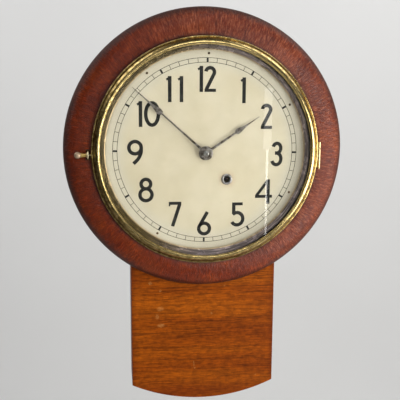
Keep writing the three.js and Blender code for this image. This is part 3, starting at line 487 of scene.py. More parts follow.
def old_brass(name, bright, tarnish, level=0.5, follow_ring=True, roughness=0.24, patch_scale=70, relief=0.09):
    """Brass with tarnish in patches and fine rubbing marks. level is how much of it is tarnished."""
    f = Finish(name)
    patches = f.cloud(f.wander(f.position, 60.0, (0.01, 0.01, 0.01)), patch_scale, 4, 0.62)
    specks = f.cloud(f.position, 900.0, 3, 0.6)
    if follow_ring:
        rubbed = f.cloud(round_grain(f, 26, 1500), 1.0, 4, 0.62)
    else:
        rubbed = f.cloud(f.scaled(f.position, (260, 260, 900)), 1.0, 3, 0.6)
    mottle = f.maths("ADD", f.maths("MULTIPLY", patches, 0.6), f.maths("MULTIPLY", rubbed, 0.4))
    if follow_ring:
        across, up, radius = f.about_ring()
        # Painted sheen: the brass is made brighter and smoother towards the right and, less, the top.
        mottle = f.maths("ADD", mottle, f.maths("MULTIPLY", f.maths("MULTIPLY_ADD", up, 0.5, across), 0.06))
        # Painted highlight: the brass is brighter and smoother along the crest.
        from_crest = f.maths("ABSOLUTE", f.maths("SUBTRACT", radius, BEZEL_CREST_RADIUS * MM))
        mottle = f.maths("ADD", mottle, f.maths("MULTIPLY", f.between(from_crest, 0.0016, 0.0004), 0.16))
    dull = f.ramp(mottle, (level - 0.10, 0.0), (level + 0.12, 1.0))
    colour = f.mix(dull, tarnish, bright)
    colour = f.mix(1.0, colour, f.ramp(specks, (0.30, 0.55), (0.44, 1.0)), "MULTIPLY")
    rough = f.ramp(mottle, (level - 0.12, roughness + 0.20), (level + 0.14, roughness))
    f.put(Base_Color=colour, Metallic=1.0, Roughness=rough)
    f.bump(f.maths("ADD", rubbed, f.maths("MULTIPLY", patches, 1.4)), relief, 0.6)
    return f.material


def dark_sight_metal():
    """The plate inside the bezel: painted reflections make it olive brass on the left and purplish towards the
    right.
    """
    f = Finish("sight_metal")
    across, up, radius = f.about_ring()
    rubbed = f.cloud(round_grain(f, 30, 1300), 1.0, 4, 0.6)
    patches = f.cloud(f.position, 60.0, 4, 0.6)
    olive = f.mix(patches, (0.045, 0.030, 0.007), (0.17, 0.12, 0.042))
    purple = f.mix(patches, (0.085, 0.066, 0.068), (0.25, 0.205, 0.225))
    # Painted reflection: olive on the left and dull purple on the right stand for what each side reflects; the
    # right is also less metallic.
    rightward = f.maths("ADD", f.maths("MULTIPLY_ADD", up, -0.15, across), f.maths("MULTIPLY", patches, 0.3))
    right_side_reflection = f.between(rightward, -0.45, 0.35)
    colour = f.mix(right_side_reflection, olive, purple)
    colour = f.mix(1.0, colour, f.ramp(rubbed, (0.38, 0.35), (0.52, 1.0), (0.64, 2.1)), "MULTIPLY")
    shaded_rim = f.maths("MULTIPLY", f.between(radius, 0.1566, 0.1580), f.between(across, -0.1, 0.6))
    colour = f.mix(shaded_rim, colour, (0.008, 0.006, 0.005))
    rolled_edge = f.between(radius, 0.1536, 0.1524)
    colour = f.mix(f.maths("MULTIPLY", rolled_edge, 0.85), colour, (0.46, 0.34, 0.19))
    f.put(
        Base_Color=colour,
        Metallic=f.maths("MULTIPLY_ADD", f.maths("MAXIMUM", rolled_edge, right_side_reflection), -0.5, 0.9),
        Roughness=f.maths("MULTIPLY_ADD", patches, 0.2, 0.16),
    )
    f.bump(rubbed, 0.08, 0.6)
    return f.material


def steel(name, colour, dark, roughness=0.3, grain=(500, 500, 500)):
    f = Finish(name)
    brushed = f.cloud(f.scaled(f.position, grain), 1.0, 4, 0.6)
    stains = f.cloud(f.position, 160.0, 3, 0.6)
    shade = f.mix(f.ramp(stains, (0.36, 0.0), (0.62, 1.0)), dark, colour)
    shade = f.mix(1.0, shade, f.ramp(brushed, (0.34, 0.82), (0.66, 1.12)), "MULTIPLY")
    f.put(Base_Color=shade, Metallic=1.0, Roughness=f.maths("MULTIPLY_ADD", brushed, 0.22, roughness - 0.1))
    f.bump(brushed, 0.02, 0.5)
    return f.material


def dial_paint():
    """Aged cream paint: lighter towards the edge, faintly yellowed in patches, with small specks and painted shade
    at the rim.
    """
    f = Finish("dial_paint")
    _, _, radius = f.about_ring()
    patches = f.cloud(f.wander(f.position, 12.0, (0.03, 0.03, 0.03)), 16.0, 4, 0.6)
    cloudy = f.cloud(f.position, 60.0, 3, 0.6)
    specks = f.cloud(f.position, 420.0, 2, 0.5)
    colour = f.mix(f.ramp(patches, (0.34, 0.0), (0.66, 1.0)), (0.49, 0.425, 0.295), (0.53, 0.47, 0.345))
    colour = f.mix(f.maths("MULTIPLY", f.between(radius, 0.118, 0.134), 0.55), colour, (0.50, 0.465, 0.375))
    colour = f.mix(1.0, colour, f.ramp(cloudy, (0.32, 0.965), (0.68, 1.02)), "MULTIPLY")
    # Painted shade: the paint darkens near its rim, next to the sight ring.
    bezel_shadow = f.maths("MULTIPLY", f.between(radius, 0.1475, 0.1535), 0.5)
    colour = f.mix(bezel_shadow, colour, (0.34, 0.27, 0.17))
    x, _, z = f.parts(f.position)
    dx = f.maths("SUBTRACT", x, WINDING_MIDDLE.x)
    dz = f.maths("SUBTRACT", z, WINDING_MIDDLE.z)
    near_hole = f.maths("ADD", f.maths("MULTIPLY", dx, dx), f.maths("MULTIPLY", dz, dz))
    worn = f.maths("MULTIPLY", f.between(near_hole, 0.00030, 0.00006), 0.35)
    colour = f.mix(worn, colour, (0.42, 0.29, 0.19))
    colour = f.mix(1.0, colour, f.ramp(specks, (0.20, 0.5), (0.26, 1.0)), "MULTIPLY")
    f.put(Base_Color=colour, Roughness=f.maths("MULTIPLY_ADD", cloudy, 0.12, 0.42), Coat_Weight=0.15)
    f.bump(cloudy, 0.03, 0.5)
    return f.material


def dial_ink():
    """Near-black printing, slightly rubbed."""
    f = Finish("dial_ink")
    rubbed = f.cloud(f.position, 700.0, 4, 0.65)
    wear = f.cloud(f.position, 90.0, 3, 0.6)
    colour = f.mix(f.ramp(wear, (0.45, 0.0), (0.75, 1.0)), (0.007, 0.007, 0.006), (0.022, 0.020, 0.017))
    colour = f.mix(1.0, colour, f.ramp(rubbed, (0.3, 0.8), (0.7, 1.25)), "MULTIPLY")
    f.put(
        Base_Color=colour,
        Roughness=f.maths("MULTIPLY_ADD", rubbed, 0.15, 0.42),
        Specular_IOR_Level=0.2,
    )
    return f.material


def pane_glass():
    """Clear flat glass that lets lamps through to what is behind it."""
    f = Finish("pane_glass")
    f.put(
        Base_Color=(0.985, 0.995, 0.985, 1),
        Roughness=0.015,
        Transmission_Weight=1.0,
        IOR=1.46,
    )
    output = f.tree.nodes["Material Output"]
    through = f.node("ShaderNodeBsdfTransparent")
    through.inputs["Color"].default_value = (0.95, 0.96, 0.95, 1)
    chosen = f.node("ShaderNodeMixShader")
    f.join(f.node("ShaderNodeLightPath").outputs["Is Shadow Ray"], chosen.inputs[0])
    f.join(f.shader.outputs[0], chosen.inputs[1])
    f.join(through.outputs[0], chosen.inputs[2])
    f.join(chosen.outputs[0], output.inputs["Surface"])
    return f.material


def bare_oak():
    return straight_grain("bare_oak", (260, 260, 12), (0.40, 0.24, 0.115), (0.22, 0.115, 0.05), 0.75, 0.1)


def latch_brass():
    """Brass that is yellow on the neck and worn to a dull pinkish tan on the ball."""
    f = Finish("latch_brass")
    x, _, _ = f.parts(f.position)
    low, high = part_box("latch_knob")
    ball = f.between(x, low.x + 0.0112, low.x + 0.0084)
    patches = f.cloud(f.position, 420.0, 3, 0.6)
    yellow = f.mix(patches, (0.42, 0.28, 0.07), (0.74, 0.54, 0.20))
    tan = f.mix(patches, (0.40, 0.28, 0.17), (0.62, 0.47, 0.32))
    yellow = f.mix(f.between(x, low.x + 0.0176, low.x + 0.0186), yellow, (0.95, 0.85, 0.55))
    f.put(
        Base_Color=f.mix(ball, yellow, tan),
        Metallic=f.maths("MULTIPLY_ADD", ball, -0.35, 1.0),
        Roughness=f.maths("MULTIPLY_ADD", ball, 0.08, 0.42),
    )
    f.bump(patches, 0.05, 0.5)
    return f.material


MATERIALS = {
    "ring_wood": ring_mahogany(),
    "drop_wood": drop_mahogany(),
    "inner_wood": bare_oak(),
    "brass": old_brass("brass", (0.74, 0.52, 0.20), (0.27, 0.18, 0.065), 0.46, follow_ring=False),
    "movement_brass": old_brass(
        "movement_brass", (0.66, 0.47, 0.20), (0.30, 0.20, 0.085), 0.42, follow_ring=False, roughness=0.3
    ),
    "sight_metal": dark_sight_metal(),
    "steel": steel("satin_steel", (0.50, 0.50, 0.49), (0.27, 0.26, 0.25)),
    "hand_steel": steel("hand_steel", (0.30, 0.275, 0.25), (0.085, 0.066, 0.05), 0.4, (160, 160, 700)),
    "dial_paint": dial_paint(),
    "glass": pane_glass(),
}
BEZEL_BRASS = old_brass(
    "bezel_brass", (0.78, 0.59, 0.25), (0.16, 0.11, 0.03), 0.50, roughness=0.2, patch_scale=170, relief=0.16
)
HINGE_BRASS = old_brass("hinge_brass", (0.92, 0.76, 0.42), (0.55, 0.40, 0.16), 0.40, False, 0.3)
SIDE_WOOD = straight_grain("side_wood", (240, 240, 9), (0.33, 0.078, 0.010), (0.17, 0.030, 0.005))
LATCH_BRASS = latch_brass()
GROMMET_METAL = steel("grommet_nickel", (0.46, 0.44, 0.43), (0.22, 0.20, 0.19), 0.3)
DARK_STEEL = steel("dark_steel", (0.10, 0.075, 0.07), (0.035, 0.022, 0.02), 0.35)
DARK_NAIL = old_brass("nail_brass", (0.16, 0.10, 0.05), (0.035, 0.02, 0.012), 0.5, False, 0.4)
INK = dial_ink()


def finished(piece, material, body, slot, *nodes):
    """Gives a new piece its material and its body, and hides the CAD nodes that it stands for. slot is not used."""
    piece.data.materials.clear()
    piece.data.materials.append(material)
    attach(piece, body)
    if nodes:
        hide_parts(*nodes)
    return piece


# ------------------------------------------------------------------ carried-over CAD nodes

SIDE_BOARDS = ("left_side_board", "right_side_board", "side_door")
EASED_BOARDS = (*SIDE_BOARDS, "top_board", "bottom_board", "backboard", "dial_board")
EASED_BLOCKS = ("movement_block_left", "movement_block_right")


def dress_cad_nodes():
    for part in frame["record"]["subparts"]:
        node = frame["nodes"][part["node"]]
        node.data.materials.clear()
        wood_side = part["node"] in SIDE_BOARDS
        node.data.materials.append(SIDE_WOOD if wood_side else MATERIALS[part["material_slot"]])
    for name in (*EASED_BOARDS, *EASED_BLOCKS):
        eased(frame["nodes"][name], 0.5)
    for name in ("back_plate", "front_plate", "hanger_plate", "latch_strike"):
        eased(frame["nodes"][name], 0.25, 1)
    for name, material in (("latch_strike", DARK_NAIL), ("winding_arbor", DARK_STEEL)):
        slots = frame["nodes"][name].data.materials
        slots.clear()
        slots.append(material)


# ------------------------------------------------------------------ case


def make_wood_ring():
    """The ring with its rounded face and the two pockets for brass fittings."""
    low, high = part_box("wood_ring")
    outer = in_mm(high.x - low.x) / 2
    rear, land = -in_mm(high.y), -in_mm(low.y)
    face_start, seat, foot = 174, 164, 72
    steps = 24
    face = [
        (
            face_start + (outer - face_start) * math.cos(math.pi / 2 * i / steps),
            foot + (land - foot) * math.sin(math.pi / 2 * i / steps),
        )
        for i in range(steps + 1)
    ]
    profile = [(seat, rear), (outer - 2.2, rear), (outer - 0.5, rear + 0.8), *face]
    profile += [(seat + 0.4, land), (seat, land - 0.4), (seat, rear)]
    ring = turned("ring_turned_face", profile, facing_front(RING_X, RING_Z), 240, smooth_angle=40)
    leaf_low, leaf_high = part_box("case_hinge_leaf")
    gap = 0.5
    mortise = block(
        "mortise",
        (in_mm(leaf_low.x) - gap, -in_mm(leaf_high.y) - 0.15, in_mm(leaf_low.z) - gap),
        (in_mm(leaf_high.x) + gap, land + 4, in_mm(leaf_high.z) + gap),
    )
    clip_low, clip_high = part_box("latch_strike")
    pocket = block(
        "pocket",
        (in_mm(clip_low.x) - gap, -in_mm(clip_high.y) - 0.1, in_mm(clip_low.z) - gap),
        (in_mm(clip_high.x) + gap, land + 4, in_mm(clip_high.z) + gap),
    )
    carved(ring, mortise, pocket)
    finished(ring, MATERIALS["ring_wood"], "case", "ring_wood", "wood_ring")


def foot_arc(half, corner, lowest, steps):
    """Points along an arc through (-half, corner), (0, lowest) and (half, corner)."""
    rise = corner - lowest
    radius = (half * half + rise * rise) / (2 * rise)
    centre = lowest + radius
    reach = math.asin(half / radius)
    return [
        (radius * math.sin(reach * (2 * i / steps - 1)), centre - radius * math.cos(reach * (2 * i / steps - 1)))
        for i in range(steps + 1)
    ]


def make_drop_panel():
    half = in_mm(PANEL_HIGH.x)
    lowest, top = in_mm(PANEL_LOW.z), in_mm(PANEL_HIGH.z)
    rear, front = -in_mm(PANEL_HIGH.y), -in_mm(PANEL_LOW.y)
    rise = 26
    outline = [(half, top), (-half, top), *foot_arc(half, lowest + rise, lowest, 64)]
    panel = prism("drop_panel_veneered", outline, facing_front(0, 0), rear, front)
    eased(panel, 0.8, 3)
    finished(panel, MATERIALS["drop_wood"], "case", "drop_wood", "drop_front_panel")


def screw(name, place, radius, height, dome=0.5, slot_angle=0.3):
    """A slotted screw head: place takes (a, b, height), with height 0 on the surface it is driven into."""
    head = turned(
        name,
        [
            (0, -0.6),
            (radius * 0.96, -0.6),
            (radius, 0),
            (radius, height * 0.35),
            (radius * 0.86, height * 0.75),
            (radius * 0.5, height * (0.75 + 0.25 * dome)),
            (0, height * (0.75 + 0.3 * dome)),
        ],
        place,
        28,
    )
    half = radius * 0.13
    across = Vector((math.cos(slot_angle), math.sin(slot_angle)))
    aside = Vector((-across.y, across.x))
    corners = [
        across * sx * radius * 1.2 + aside * sy * half for sx, sy in ((-1, -1), (1, -1), (1, 1), (-1, 1))
    ]
    bm = bmesh.new()
    low = [bm.verts.new(place(c.x, c.y, height * 0.45)) for c in corners]
    high = [bm.verts.new(place(c.x, c.y, height * 2)) for c in corners]
    bm.faces.new(low)
    bm.faces.new(high)
    for i in range(4):
        bm.faces.new((low[i], low[(i + 1) % 4], high[(i + 1) % 4], high[i]))
    return carved(head, piece_from("slot", bm))


def facing_back(centre_x, centre_z, forward):
    """Places (across, up, height) about an axis that points to the wall."""
    return lambda a, b, h: Vector(((centre_x + a) * MM, (h - forward) * MM, (centre_z + b) * MM))


def make_back_fittings():
    """Countersunk screws that hold the backboard and the hanger plate, let in flush with the back."""
    half = in_mm(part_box("backboard")[1].x) - 9
    heads = []
    for row in range(5):
        z = 128 - row * 116
        for side in (-1, 1):
            place = facing_back(side * half, z, 0.62)
            heads.append(screw(f"back_screw_{row}_{side + 1}", place, 3.4, 0.6, 0.2, 0.4 + row + side))
    finished(joined("backboard_screws", heads), MATERIALS["steel"], "case", "steel")
    low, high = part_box("hanger_plate")
    plate_screws = [
        screw(f"hanger_screw_{i}", facing_back(x, in_mm(low.z) + up, 0.62), 3.2, 0.6, 0.2, 1.1 + i)
        for i, (x, up) in enumerate(((-7, 8), (7, 8), (-7, 26), (7, 26)))
    ]
    finished(joined("hanger_screws", plate_screws), MATERIALS["steel"], "case", "steel")


def make_side_door_fittings():
    low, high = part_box("side_door_knob")
    centre = (low + high) / 2
    base = in_mm(low.x)
    profile = [
        (0, 0.1),
        (3.0, 0.1),
        (2.9, 0.5),
        (2.2, 1.1),
        (1.95, 1.9),
        (2.4, 2.5),
        (3.6, 2.95),
        (4.1, 3.5),
        (3.7, 4.2),
        (2.4, 4.65),
        (0, 4.75),
    ]
    shifted = [(radius, base + height) for radius, height in rounded(profile, 3)]
    knob = turned("side_door_turned_knob", shifted, pointing_right(-in_mm(centre.y), in_mm(centre.z)), 40)
    finished(knob, MATERIALS["brass"], "side_door", "brass", "side_door_knob")

    for node, body, forward, rows in (
        ("side_door_frame_leaf", "case", 7.5, (-10, 10)),
        ("side_door_leaf", "side_door", 20.6, (-9, 9)),
    ):
        low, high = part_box(node)
        leaf_face = in_mm(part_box("side_door")[1].x) + 1.1
        level = in_mm((low.z + high.z) / 2)
        heads = [
            screw(
                f"{node}_screw_{i}",
                lambda a, b, h, up=up: Vector(
                    ((leaf_face + h) * MM, (a - forward) * MM, (level + up + b) * MM)
                ),
                1.7,
                0.5,
                0.6,
                0.9 * i + 0.4,
            )
            for i, up in enumerate(rows)
        ]
        finished(joined(f"{node}_screws", heads), MATERIALS["brass"], body, "brass")
        eased(frame["nodes"][node], 0.15, 1, 50)


# ------------------------------------------------------------------ dial

NUMERAL_HEIGHT = 38.4
STEM = 5.4
BAR = 4.7
NUMERAL_RADIUS = 109.5
TRACK_OUTER, TRACK_INNER = 140.6, 134.0
PRINT_Z = 1.8  # the printing is centred this far above the hands' axis
PRINT_TURN = 0.9  # and turned by this many degrees clockwise


def ribbon(bm, points, width, lift, closed=False):
    """A thin printed stroke along the points, with square ends and mitred corners."""
    line = [Vector(p) for p in points]
    count = len(line)
    low_front, high_front = DIAL_FRONT - 0.03, DIAL_FRONT + 0.05 + lift
    place = facing_front(0, 0)
    sections = []
    for i, point in enumerate(line):
        if closed:
            before, after = line[i - 1], line[(i + 1) % count]
        else:
            before, after = line[max(i - 1, 0)], line[min(i + 1, count - 1)]
        arriving = (point - before).normalized() if point != before else (after - point).normalized()
        leaving = (after - point).normalized() if after != point else arriving
        along = (arriving + leaving).normalized()
        aside = Vector((-along.y, along.x)) * (width / 2) / max(along.dot(arriving), 0.4)
        corners = (point + aside, point - aside)
        sections.append([bm.verts.new(place(c.x, c.y, h)) for h in (low_front, high_front) for c in corners])
    pairs = [(i, (i + 1) % count) for i in range(count if closed else count - 1)]
    for i, j in pairs:
        a, b = sections[i], sections[j]
        for p, q in ((0, 1), (1, 3), (3, 2), (2, 0)):
            bm.faces.new((a[p], a[q], b[q], b[p]))
    if not closed:
        for end in (sections[0], sections[-1]):
            bm.faces.new((end[0], end[1], end[3], end[2]))


def oval(centre, radii, start, end, steps=28):
    """Points round an ellipse, clockwise from start to end degrees, measured from the right."""
    turn = [math.radians(start + (end - start) * i / steps) for i in range(steps + 1)]
    return [(centre[0] + radii[0] * math.cos(a), centre[1] + radii[1] * math.sin(a)) for a in turn]


def touching(point, centre, radius, side):
    """The angle in degrees at which a line from point touches a circle, on the given side."""
    dx, dy = point[0] - centre[0], point[1] - centre[1]
    return math.degrees(math.atan2(dy, dx) + side * math.acos(radius / math.hypot(dx, dy)))


TOP = NUMERAL_HEIGHT / 2
HALF_STEM, HALF_BAR = STEM / 2, BAR / 2


def on_print(degrees, radius):
    """A point of the printing, clockwise from 12."""
    angle = math.radians(degrees + PRINT_TURN)
    return Vector((radius * math.sin(angle), PRINT_Z + radius * math.cos(angle)))


def digit_one():
    stem = 1.4
    return [
        ([(stem, -TOP), (stem, TOP)], STEM),
        ([(stem - HALF_STEM - 2.4, TOP - 5.2), (stem - 0.6, TOP - 2.6)], 3.4),
    ]


def digit_two():
    radius = 6.4
    centre = (-0.2, TOP - HALF_STEM - radius)
    foot = (-5.9, HALF_BAR - TOP + 1.2)
    leave = touching(foot, centre, radius, 1)
    bowl = oval(centre, (radius, radius), 172, leave)
    return [([*bowl, foot], STEM), ([(-8.6, HALF_BAR - TOP), (8.8, HALF_BAR - TOP)], BAR)]


def digit_three():
    waist = 1.6
    upper = (6.0, (TOP - HALF_STEM - waist) / 2)
    lower = (7.2, (TOP - HALF_STEM + waist) / 2)
    join = (-2.6, waist)
    upper_bowl = oval((0.4, TOP - HALF_STEM - upper[1]), upper, 162, -90)
    lower_bowl = oval((-0.2, HALF_STEM - TOP + lower[1]), lower, 90, -160)
    return [([*upper_bowl, join], STEM), ([join, *lower_bowl], STEM)]


def digit_four():
    stem, bar = 7.0, -7.4
    return [
        ([(stem, -TOP), (stem, TOP)], STEM),
        ([(-13.4, bar), (13.4, bar)], BAR),
        ([(stem - 0.4, TOP - 1.4), (-11.6, bar + 0.8)], 4.6),
    ]


def digit_five():
    stem = -5.4
    return [
        ([(stem - HALF_STEM + 0.6, TOP - HALF_BAR), (8.6, TOP - HALF_BAR)], BAR),
        ([(stem, TOP), (stem, 2.0)], STEM),
        (oval((-0.2, -6.7), (9.2, 9.8), 136, -150), STEM),
    ]


def digit_six():
    centre, radius = (0.0, -8.0), 8.4
    tip = (5.0, TOP - 1.0)
    arrive = touching(tip, centre, radius, 1)
    return [([tip, *oval(centre, (radius, radius), arrive, arrive + 360)], STEM)]


def digit_seven():
    return [
        ([(-9.4, TOP - HALF_BAR), (9.8, TOP - HALF_BAR)], BAR),
        ([(-8.3, TOP - HALF_BAR), (-8.3, TOP - 7.0)], 2.4),
        ([(7.6, TOP - 3.0), (-3.8, -TOP)], STEM),
    ]


def digit_eight():
    upper, lower = 7.3, 9.2
    return [
        (oval((0, TOP - HALF_STEM - upper), (upper, upper), 90, 450), STEM),
        (oval((0, HALF_STEM - TOP + lower), (lower, lower), 90, 450), STEM),
    ]


def digit_nine():
    centre, radius = (-0.2, 6.9), 9.3
    tail = rounded([(centre[0] + radius, centre[1]), (8.9, 0.6), (7.0, -5.4), (3.4, -11.4), (-2.8, -17.4)])
    return [(oval(centre, (radius, radius), 90, 450), STEM), (tail, STEM)]


def digit_nought():
    return [(oval((0, 0), (9.5, TOP - HALF_STEM), 90, 450, 40), STEM)]


# Each numeral is its digits, with the gap from one digit's middle to the next, and how far right and up of
# its place on the circle it is set, so that wide numerals stay clear of the minute track.
NUMERALS = {
    1: ((digit_one,), 0, (-0.5, -1.6)),
    2: ((digit_two,), 0, (-2.5, 0.0)),
    3: ((digit_three,), 0, (0.5, -3.0)),
    4: ((digit_four,), 0, (-3.0, -7.0)),
    5: ((digit_five,), 0, (-3.0, -3.0)),
    6: ((digit_six,), 0, (0.0, -2.3)),
    7: ((digit_seven,), 0, (9.5, -2.0)),
    8: ((digit_eight,), 0, (4.5, -4.5)),
    9: ((digit_nine,), 0, (2.5, -1.5)),
    10: ((digit_one, digit_nought), 18.6, (7.0, 1.2)),
    11: ((digit_one, digit_one), 17.6, (5.5, -1.5)),
    12: ((digit_one, digit_two), 14.8, (0.0, -0.2)),
}


def middle_of(strokes):
    """The middle of the strokes' outer size."""
    xs = [x + side * width / 2 for points, width in strokes for x, _ in points for side in (-1, 1)]
    return (min(xs) + max(xs)) / 2


def make_dial():
    low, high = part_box("dial_plate")
    radius = in_mm(high.x - low.x) / 2
    rear = -in_mm(high.y)
    profile = [(0, rear), (radius, rear), (radius, DIAL_FRONT), (0, DIAL_FRONT)]
    plate = turned("dial_painted", profile, facing_front(RING_X, RING_Z), 120)
    hand_hole = turned("hole", [(0, rear - 2), (5.5, rear - 2), (5.5, 95), (0, 95)], facing_front(0, 0), 40)
    key_hole = turned(
        "hole_2",
        [(0, rear - 2), (6.3, rear - 2), (6.3, 95), (0, 95)],
        facing_front(WINDING_X, WINDING_Z),
        40,
    )
    carved(plate, hand_hole, key_hole)
    finished(plate, MATERIALS["dial_paint"], "case", "dial_paint", "dial_plate")


def make_numerals():
    bm = bmesh.new()
    lift = 0.0
    for hour, (digits, spacing, nudge) in NUMERALS.items():
        strokes = [
            ([(x + i * spacing, y) for x, y in points], width)
            for i, digit in enumerate(digits)
            for points, width in digit()
        ]
        at = on_print(hour * 30, NUMERAL_RADIUS) + Vector(nudge) - Vector((middle_of(strokes), 0))
        for points, width in strokes:
            placed = [(at.x + x, at.y + y) for x, y in points]
            looped = (Vector(placed[0]) - Vector(placed[-1])).length < 1e-6
            ribbon(bm, placed[:-1] if looped else placed, width, lift, closed=looped)
            lift = (lift + 0.004) % 0.02
    finished(piece_from("dial_numerals", bm), INK, "case", "dial_paint")


def make_minute_track():
    bm = bmesh.new()
    for radius in (TRACK_OUTER, TRACK_INNER):
        ribbon(bm, oval((0, PRINT_Z), (radius, radius), 0, 360, 180)[:-1], 0.75, 0.0, closed=True)
    for minute in range(60):
        bold = minute % 5 == 0
        overrun = 0.3 if bold else 0
        ends = [on_print(minute * 6, TRACK_INNER - overrun), on_print(minute * 6, TRACK_OUTER + overrun)]
        ribbon(bm, ends, 2.9 if bold else 0.75, 0.006)
    finished(piece_from("dial_minute_track", bm), INK, "case", "dial_paint")


def make_dial_nails():
    """Small round-headed nails between the minute track and the bezel."""
    heads = []
    for i, degrees in enumerate((1.6, 61.4, 116.5, 210.4, 323)):
        angle = math.radians(degrees)
        place = facing_front(146.5 * math.sin(angle), RING_Z + 146.5 * math.cos(angle))
        profile = [(0, -0.6), (1.5, -0.6), (1.9, 0.05), (1.7, 0.5), (1.0, 0.85), (0, 0.95)]
        shifted = [(radius, DIAL_FRONT + height) for radius, height in profile]
        heads.append(turned(f"dial_nail_{i}", shifted, place, 20))
    finished(joined("dial_nails", heads), DARK_NAIL, "case", "movement_brass")


def make_grommet():
    low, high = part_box("winding_grommet")
    rear, front = -in_mm(high.y), -in_mm(low.y)
    profile = [
        (4.7, rear),
        (6.0, rear),
        (6.0, DIAL_FRONT),
        *rounded([(8.55, DIAL_FRONT), (8.5, DIAL_FRONT + 0.6), (7.7, front - 0.35), (6.6, front - 0.05)], 4),
        *rounded([(5.7, front - 0.15), (4.95, front - 0.7), (4.7, front - 1.6)], 4),
        (4.7, rear),
    ]
    grommet = turned("winding_grommet_pressed", profile, facing_front(WINDING_X, WINDING_Z), 56)
    finished(grommet, GROMMET_METAL, "case", "sight_metal", "winding_grommet")


# ------------------------------------------------------------------ bezel, glass, hinge and latch


def uneven(angle, radius, height):
    """Small dents of a hand-worn stamping, only inward so that it stays within its solid."""
    seed = Vector((math.cos(angle) * 4.2, math.sin(angle) * 4.2, radius * 0.11))
    dent = 0.5 + 0.5 * noise.noise(seed)
    ripple = 0.5 + 0.5 * noise.noise(seed * 4.3)
    return -0.10 * ripple, -0.26 * dent - 0.10 * ripple


def make_bezel():
    outer = in_mm(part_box("bezel_ring")[1].x - RING_MIDDLE.x)
    rear = -in_mm(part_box("bezel_ring")[1].y)
    crest = BEZEL_FRONT
    rim = rounded(
        [
            (outer, rear),
            (outer, rear + 2.2),
            (outer - 0.1, rear + 3.5),
            (outer - 0.7, rear + 4.6),
            (outer - 1.7, rear + 4.9),
            (outer - 2.7, rear + 4.3),
            (outer - 3.1, rear + 3.7),
        ],
        4,
    )
    slope = rounded(
        [
            (outer - 3.2, rear + 4.2),
            (outer - 3.8, rear + 6.4),
            (outer - 5.2, rear + 8.6),
            (outer - 7.0, crest - 1.5),
            (outer - 9.0, crest - 0.3),
            (outer - 10.4, crest),
            (outer - 11.6, crest - 0.5),
            (outer - 12.6, crest - 1.5),
            (outer - 13.2, crest - 3.1),
        ],
        5,
    )
    inside = [
        (outer - 12.0, crest - 3.1),
        (outer - 11.2, crest - 1.6),
        (outer - 9.8, crest - 1.2),
        (outer - 7.2, crest - 3.0),
        (outer - 4.2, rear + 3.4),
        (outer - 1.0, rear + 3.0),
        (outer - 1.0, rear),
    ]
    profile = [*rim, *slope, *inside, rim[0]]
    bezel = turned("bezel_stamped", profile, facing_front(RING_X, RING_Z), 288, uneven, 50)
    leaf_low, leaf_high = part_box("bezel_hinge_leaf")
    notch = block(
        "notch",
        (outer - 4, rear - 1, in_mm(leaf_low.z) - 0.2),
        (outer + 2, -in_mm(leaf_low.y) + 0.1, in_mm(leaf_high.z) + 0.2),
    )
    latch_middle = middle("latch_knob")
    stem_hole = turned(
        "stem_hole",
        [(0, -outer - 2), (1.4, -outer - 2), (1.4, -outer + 3), (0, -outer + 3)],
        pointing_right(-in_mm(latch_middle.y), in_mm(latch_middle.z)),
        24,
    )
    carved(bezel, notch, stem_hole)
    finished(bezel, BEZEL_BRASS, "bezel", "brass", "bezel_ring")


def make_sight_ring():
    """The sloping wall between the glass and the dial, with a rolled edge over the dial."""
    low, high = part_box("sight_ring")
    front, rear = -in_mm(low.y), -in_mm(high.y)
    glass_radius, dial_radius, flange = 158.4, 151.6, 163.5
    wall = 0.9
    roll = rounded(
        [
            (dial_radius + 1.7, rear + 2.4),
            (dial_radius + 0.7, rear + 1.7),
            (dial_radius + 0.05, rear + 0.9),
            (dial_radius + 0.4, rear + 0.1),
            (dial_radius + 1.4, rear + 0.02),
        ],
        4,
    )
    profile = [
        (flange, front),
        (glass_radius + 0.3, front),
        *rounded([(glass_radius, front - 0.4), (155.2, front - 6.2), (dial_radius + 1.8, rear + 3.0)], 5),
        *roll,
        (dial_radius + 2.3, rear + 1.4),
        (glass_radius + wall, front - wall),
        (flange, front - wall),
        (flange, front),
    ]
    ring = turned("sight_ring_spun", profile, facing_front(RING_X, RING_Z), 240, smooth_angle=50)
    finished(ring, MATERIALS["sight_metal"], "bezel", "sight_metal", "sight_ring")


def make_glass():
    low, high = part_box("glass")
    radius = in_mm(high.x - low.x) / 2 - 0.2
    rear = -in_mm(high.y)
    profile = [(0, rear), (radius, rear), (radius, GLASS_FRONT), (0, GLASS_FRONT)]
    pane = turned("glass_pane", profile, facing_front(RING_X, RING_Z), 128)
    finished(pane, MATERIALS["glass"], "bezel", "glass", "glass")


def knuckle(name, place, radius, bore, bottom, top):
    soft = 0.35
    profile = [
        (bore, bottom),
        (radius - soft, bottom),
        (radius, bottom + soft),
        (radius, top - soft),
        (radius - soft, top),
        (bore, top),
        (bore, bottom),
    ]
    return turned(name, profile, place, 32)


